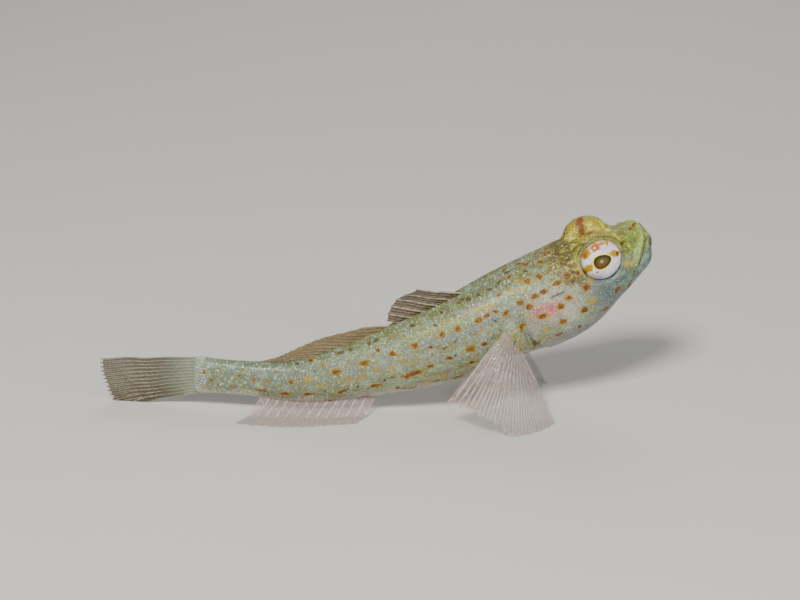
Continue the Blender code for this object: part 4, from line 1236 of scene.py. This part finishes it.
class GobyColours(bpy.types.PropertyGroup):
    """Colours of skin, eyes and fins."""

    flank: colour("Flank", "Grey ground of the flank", 142, 150, 126)
    flank_olive: colour("Flank olive", "Olive patches in the ground of the flank", 126, 132, 92)
    back: colour("Back", "Olive of the back", 104, 108, 56)
    belly: colour("Belly", "Pale belly", 198, 188, 176)
    throat: colour("Throat", "Throat", 98, 100, 114)
    # Bluish grey of the lower jaw, darkened with painted shade.
    shaded_jaw: colour("Jaw", "Bluish grey lower jaw", 82, 98, 98)
    cover: colour("Gill cover", "Pale greenish gill cover", 192, 208, 184)
    tail: colour("Tail stem", "Green grey of the tail stem", 92, 110, 92)
    cheek: colour("Cheek", "Bluish cheek", 72, 94, 102)
    head: colour("Head", "Yellow green top of the head", 96, 70, 0)
    snout: colour("Snout", "Green snout", 104, 126, 40)
    orbit: colour("Orbit", "Swellings over the eyes", 232, 224, 84)
    lip: colour("Lip", "Upper lip", 158, 176, 84)
    band_gold: colour("Gold band", "Pale gold band along the upper flank", 152, 162, 84)
    band_blue: colour("Blue band", "Blue grey band under the gold one", 110, 130, 142)
    flush: colour("Flush", "Pink of the gills seen through their cover", 214, 84, 70)
    blush: colour("Blush", "Pinkish ground of the gill cover", 204, 156, 146)
    mint: colour("Mint", "Pale green patches of the skin", 156, 196, 156)
    lilac: colour("Lilac", "Bluish grey patches of the skin", 130, 132, 160)
    beige: colour("Beige", "Pinkish patches of the skin", 188, 160, 140)
    scale_edge: colour("Scale edge", "Outline of the scales", 92, 94, 56)
    fleck: colour("Fleck", "Yellow green flecks all over", 134, 124, 44)
    glint: colour("Glint", "Bright flecks", 236, 246, 226)
    gold: colour("Gold", "Yellow spots and streaks", 190, 160, 0)
    spot_halo: colour("Spot halo", "Yellowish surround of the spots", 158, 132, 46)
    spot_faint: colour("Faint spot", "Beige spots between the rows", 156, 126, 46)
    spot_olive: colour("Olive spot", "Blurred olive spots", 112, 92, 26)
    spot_orange: colour("Orange spot", "Spots of the flank", 138, 94, 2)
    spot_brown: colour("Brown spot", "Dashes and spots of the lower flank and head", 124, 72, 4)
    spot_dark: colour("Dark spot", "Spots of the back", 84, 66, 26)
    spot_core: colour("Spot core", "Dark middles of the spots", 76, 44, 12)
    # Also the painted shade along the mouth slit and along the upper edge of each eye's fold.
    dark: colour("Dark", "Pores, dark flecks and the mouth line", 64, 58, 28)
    rim: colour("Eye fold", "Clear fold of skin round an eye", 128, 134, 116)
    iris: colour("Iris", "Silver of the iris", 246, 243, 246)
    iris_shade: colour("Iris shade", "Lilac grey of the iris", 208, 200, 226)
    iris_gold: colour("Iris gold", "Gold patches of the iris", 186, 142, 0)
    iris_orange: colour("Iris orange", "Orange patches of the iris", 184, 92, 0)
    iris_brown: colour("Iris brown", "Dark edge of a patch of the iris", 120, 62, 6)
    pupil_ring: colour("Pupil ring", "Bright ring round the pupil", 246, 232, 60)
    pupil: colour("Pupil", "Edge of the pupil", 44, 50, 26)
    # Painted reflection in the pupil: lighter towards its middle, with a pale catchlight spot.
    pupil_painted_glow: colour("Pupil core", "Middle of the pupil", 100, 84, 44)
    pupil_catchlight: colour("Pupil light", "Pale spot in the pupil", 206, 186, 86)
    bar: colour("Bar", "Bar over an eye", 116, 52, 2)
    pupil_warm: colour("Warm pupil", "Reddish brown patch in the pupil", 122, 60, 20)
    limb: colour("Limb", "Outer edge of the eye", 158, 130, 56)
    fin_ray: colour("Fin ray", "Rays of most fins", 212, 206, 196)
    fin_web: colour("Fin web", "Clear web of most fins", 184, 160, 157)
    back_fin_ray: colour("Back fin ray", "Rays of the first back fin", 200, 188, 160)
    back_fin_web: colour("Back fin web", "Web of the first back fin", 70, 46, 26)
    second_fin_web: colour("Second fin web", "Web of the second back fin", 106, 92, 52)
    tail_fin_web: colour("Tail fin web", "Web of the tail fin", 72, 76, 56)
    ochre: colour("Ochre", "Rays of the second back fin", 190, 154, 96)
    salmon: colour("Salmon", "Root of the second back fin", 186, 138, 92)
    floor: colour("Floor", "Pale floor", 214, 210, 202)


def settings():
    scene = bpy.context.scene
    return scene.goby_sizes, scene.goby_colours


PICTURE_MIDDLE = (2.96, 0.0, 14.6)
LIGHT_AIM = Vector((0.005, -0.002, 0.01))


def picture_camera(sizes):
    """A camera that sees the goby as the photograph does."""
    middle = Vector(PICTURE_MIDDLE) + Vector(ORIGIN_SHIFT)
    tilt = sizes.camera_elevation
    back = Vector((0.0, -cos(tilt), sin(tilt)))
    data = bpy.data.cameras.new("camera")
    data.lens, data.sensor_width = 100.0, 36.0
    data.clip_start, data.clip_end = 0.01, 10.0
    camera = bpy.data.objects.new("camera", data)
    camera.location = middle * MM + back * sizes.camera_distance
    camera.rotation_euler = (-back).to_track_quat("-Z", "Y").to_euler()
    bpy.context.scene.collection.objects.link(camera)
    bpy.context.scene.camera = camera


def soft_light(name, place, size, power, tint=(1.0, 1.0, 1.0)):
    """An area light aimed at the goby."""
    data = bpy.data.lights.new(name, "AREA")
    data.shape, data.size, data.energy, data.color = "DISK", size, power, tint
    light = bpy.data.objects.new(name, data)
    light.location = place
    light.rotation_euler = (LIGHT_AIM - light.location).to_track_quat("-Z", "Y").to_euler()
    bpy.context.scene.collection.objects.link(light)


class GOBY_OT_skin(bpy.types.Operator):
    """Make the skin of head, body and tail stem in one piece"""

    bl_idname = "goby.make_skin"
    bl_label = "Skin"

    def execute(self, context):
        sizes, colours = settings()
        make_skin(sizes, skin_material(colours))
        return {"FINISHED"}


class GOBY_OT_eyes(bpy.types.Operator):
    """Make both eyes"""

    bl_idname = "goby.make_eyes"
    bl_label = "Eyes"

    def execute(self, context):
        material = eye_material(settings()[1])
        make_eyeball("eyeball_right", "eye_right", 1, material)
        make_eyeball("eyeball_left", "eye_left", -1, material)
        return {"FINISHED"}


class GOBY_OT_back_fins(bpy.types.Operator):
    """Make both fins of the back, folded down as the fish rests"""

    bl_idname = "goby.make_back_fins"
    bl_label = "Back fins"

    def execute(self, context):
        sizes, c = settings()
        # The first back fin has painted highlights on the folds of its web.
        first = fin_material(
            "first back fin", c.back_fin_ray, c.back_fin_web, c.spot_dark, c.back, 0.9, 0.66, 0.4,
            root_reach=0.1, pleats=30 * pi,
        )
        second = fin_material(
            "second back fin", c.ochre, c.second_fin_web, c.spot_brown, c.salmon, 0.9, 0.66, 0.25,
            root_reach=0.3,
        )
        spines = folded(D1_FRONT, D1_REAR, D1_LENGTH, D1_ANGLE, D1_SINK)
        make_fin(
            "first_dorsal_web", "first_dorsal_fin", 6, (), spines, first, sizes, columns=16, notch=0.05
        )
        rays = folded(D2_FRONT, D2_REAR, D2_LENGTH, D2_ANGLE, D2_SINK)
        make_fin("second_dorsal_web", "second_dorsal_fin", 15, (0.45,), rays, second, sizes)
        return {"FINISHED"}


class GOBY_OT_tail_fin(bpy.types.Operator):
    """Make the tail fin"""

    bl_idname = "goby.make_tail_fin"
    bl_label = "Tail fin"

    def execute(self, context):
        sizes, c = settings()
        material = fin_material(
            "tail fin", c.beige, c.tail_fin_web, c.spot_dark, c.flank, 0.85, 0.68, 0.25, root_reach=0.5
        )
        make_fin(
            "caudal_web", "caudal_fin", CAUDAL_RAYS, (0.45,), caudal, material, sizes,
            columns=11, rows=64, lies=True,
        )
        return {"FINISHED"}


class GOBY_OT_lower_fins(bpy.types.Operator):
    """Make the anal fin and the sucking disc"""

    bl_idname = "goby.make_lower_fins"
    bl_label = "Lower fins"

    def execute(self, context):
        sizes, c = settings()
        material = fin_material("lower fins", c.fin_ray, c.fin_web, c.flush, c.belly, 0.55, 0.18, 0.1)
        make_fin("anal_web", "anal_fin", 13, (0.4,), anal, material, sizes, lies=True)
        make_fin(
            "disc_web", "pelvic_disc", 11, (0.25, 0.55), pelvic, material, sizes, columns=10, lies=True
        )
        return {"FINISHED"}


class GOBY_OT_breast_fins(bpy.types.Operator):
    """Make both breast fins"""

    bl_idname = "goby.make_breast_fins"
    bl_label = "Breast fins"

    def execute(self, context):
        sizes, c = settings()
        material = fin_material("breast fins", c.fin_ray, c.fin_web, c.gold, c.beige, 0.5, 0.15, 0.06)
        for name, side in (("right", 1), ("left", -1)):
            make_fin(
                f"pectoral_web_{name}", f"pectoral_fin_{name}", 15, (0.25, 0.6), pectoral(side), material,
                sizes, columns=10, rows=60, lies=True,
            )
        return {"FINISHED"}


class GOBY_OT_stage(bpy.types.Operator):
    """Make the floor, the lights and the camera"""

    bl_idname = "goby.make_stage"
    bl_label = "Floor, lights and camera"

    def execute(self, context):
        sizes, colours = settings()
        bm = bmesh.new()
        bmesh.ops.create_grid(bm, x_segments=1, y_segments=1, size=1.5)
        mesh = bpy.data.meshes.new("floor")
        bm.to_mesh(mesh)
        bm.free()
        material, t, shader = new_material("pale floor", Roughness=0.85)
        shade = t.mix(t.noise(0.02), [c * 0.97 for c in colours.floor], colours.floor)
        t.put(shader.inputs["Base Color"], shade)
        mesh.materials.append(material)
        floor = bpy.data.objects.new("floor", mesh)
        floor.location.z = -0.00001
        bpy.context.scene.collection.objects.link(floor)
        soft_light("key", (-0.08, -0.27, 0.32), 0.11, 2.1, (1.0, 0.98, 0.94))
        soft_light("fill", (0.3, -0.24, 0.14), 0.22, 0.45, (0.92, 0.97, 1.0))
        soft_light("back", (0.05, 0.3, 0.28), 0.2, 0.4)
        world = bpy.data.worlds.new("pale room")
        world.use_nodes = True
        world.node_tree.nodes["Background"].inputs[0].default_value = (0.86, 0.9, 0.95, 1.0)
        world.node_tree.nodes["Background"].inputs[1].default_value = 0.24
        bpy.context.scene.world = world
        picture_camera(sizes)
        return {"FINISHED"}


class GOBY_PT_panel(bpy.types.Panel):
    """Sizes, colours and makers of the goby"""

    bl_idname = "GOBY_PT_panel"
    bl_label = "Goby"
    bl_space_type = "VIEW_3D"
    bl_region_type = "UI"
    bl_category = "Goby"

    def draw(self, context):
        for group in settings():
            for key in group.bl_rna.properties.keys():
                if key not in ("rna_type", "name"):
                    self.layout.prop(group, key)
        for operator in OPERATORS:
            self.layout.operator(operator.bl_idname)


OPERATORS = (
    GOBY_OT_stage,
    GOBY_OT_skin,
    GOBY_OT_eyes,
    GOBY_OT_back_fins,
    GOBY_OT_tail_fin,
    GOBY_OT_lower_fins,
    GOBY_OT_breast_fins,
)
CLASSES = (GobySizes, GobyColours, *OPERATORS, GOBY_PT_panel)


def register():
    for cls in CLASSES:
        bpy.utils.register_class(cls)
    bpy.types.Scene.goby_sizes = bpy.props.PointerProperty(type=GobySizes)
    bpy.types.Scene.goby_colours = bpy.props.PointerProperty(type=GobyColours)


def unregister():
    del bpy.types.Scene.goby_colours
    del bpy.types.Scene.goby_sizes
    for cls in reversed(CLASSES):
        bpy.utils.unregister_class(cls)


def main():
    register()
    scale_group()
    fleck_group()
    mottle_group()
    fin_group()
    bpy.ops.goby.make_stage()
    bpy.ops.goby.make_skin()
    bpy.ops.goby.make_eyes()
    bpy.ops.goby.make_back_fins()
    bpy.ops.goby.make_tail_fin()
    bpy.ops.goby.make_lower_fins()
    bpy.ops.goby.make_breast_fins()


if __name__ == "__main__":
    main()
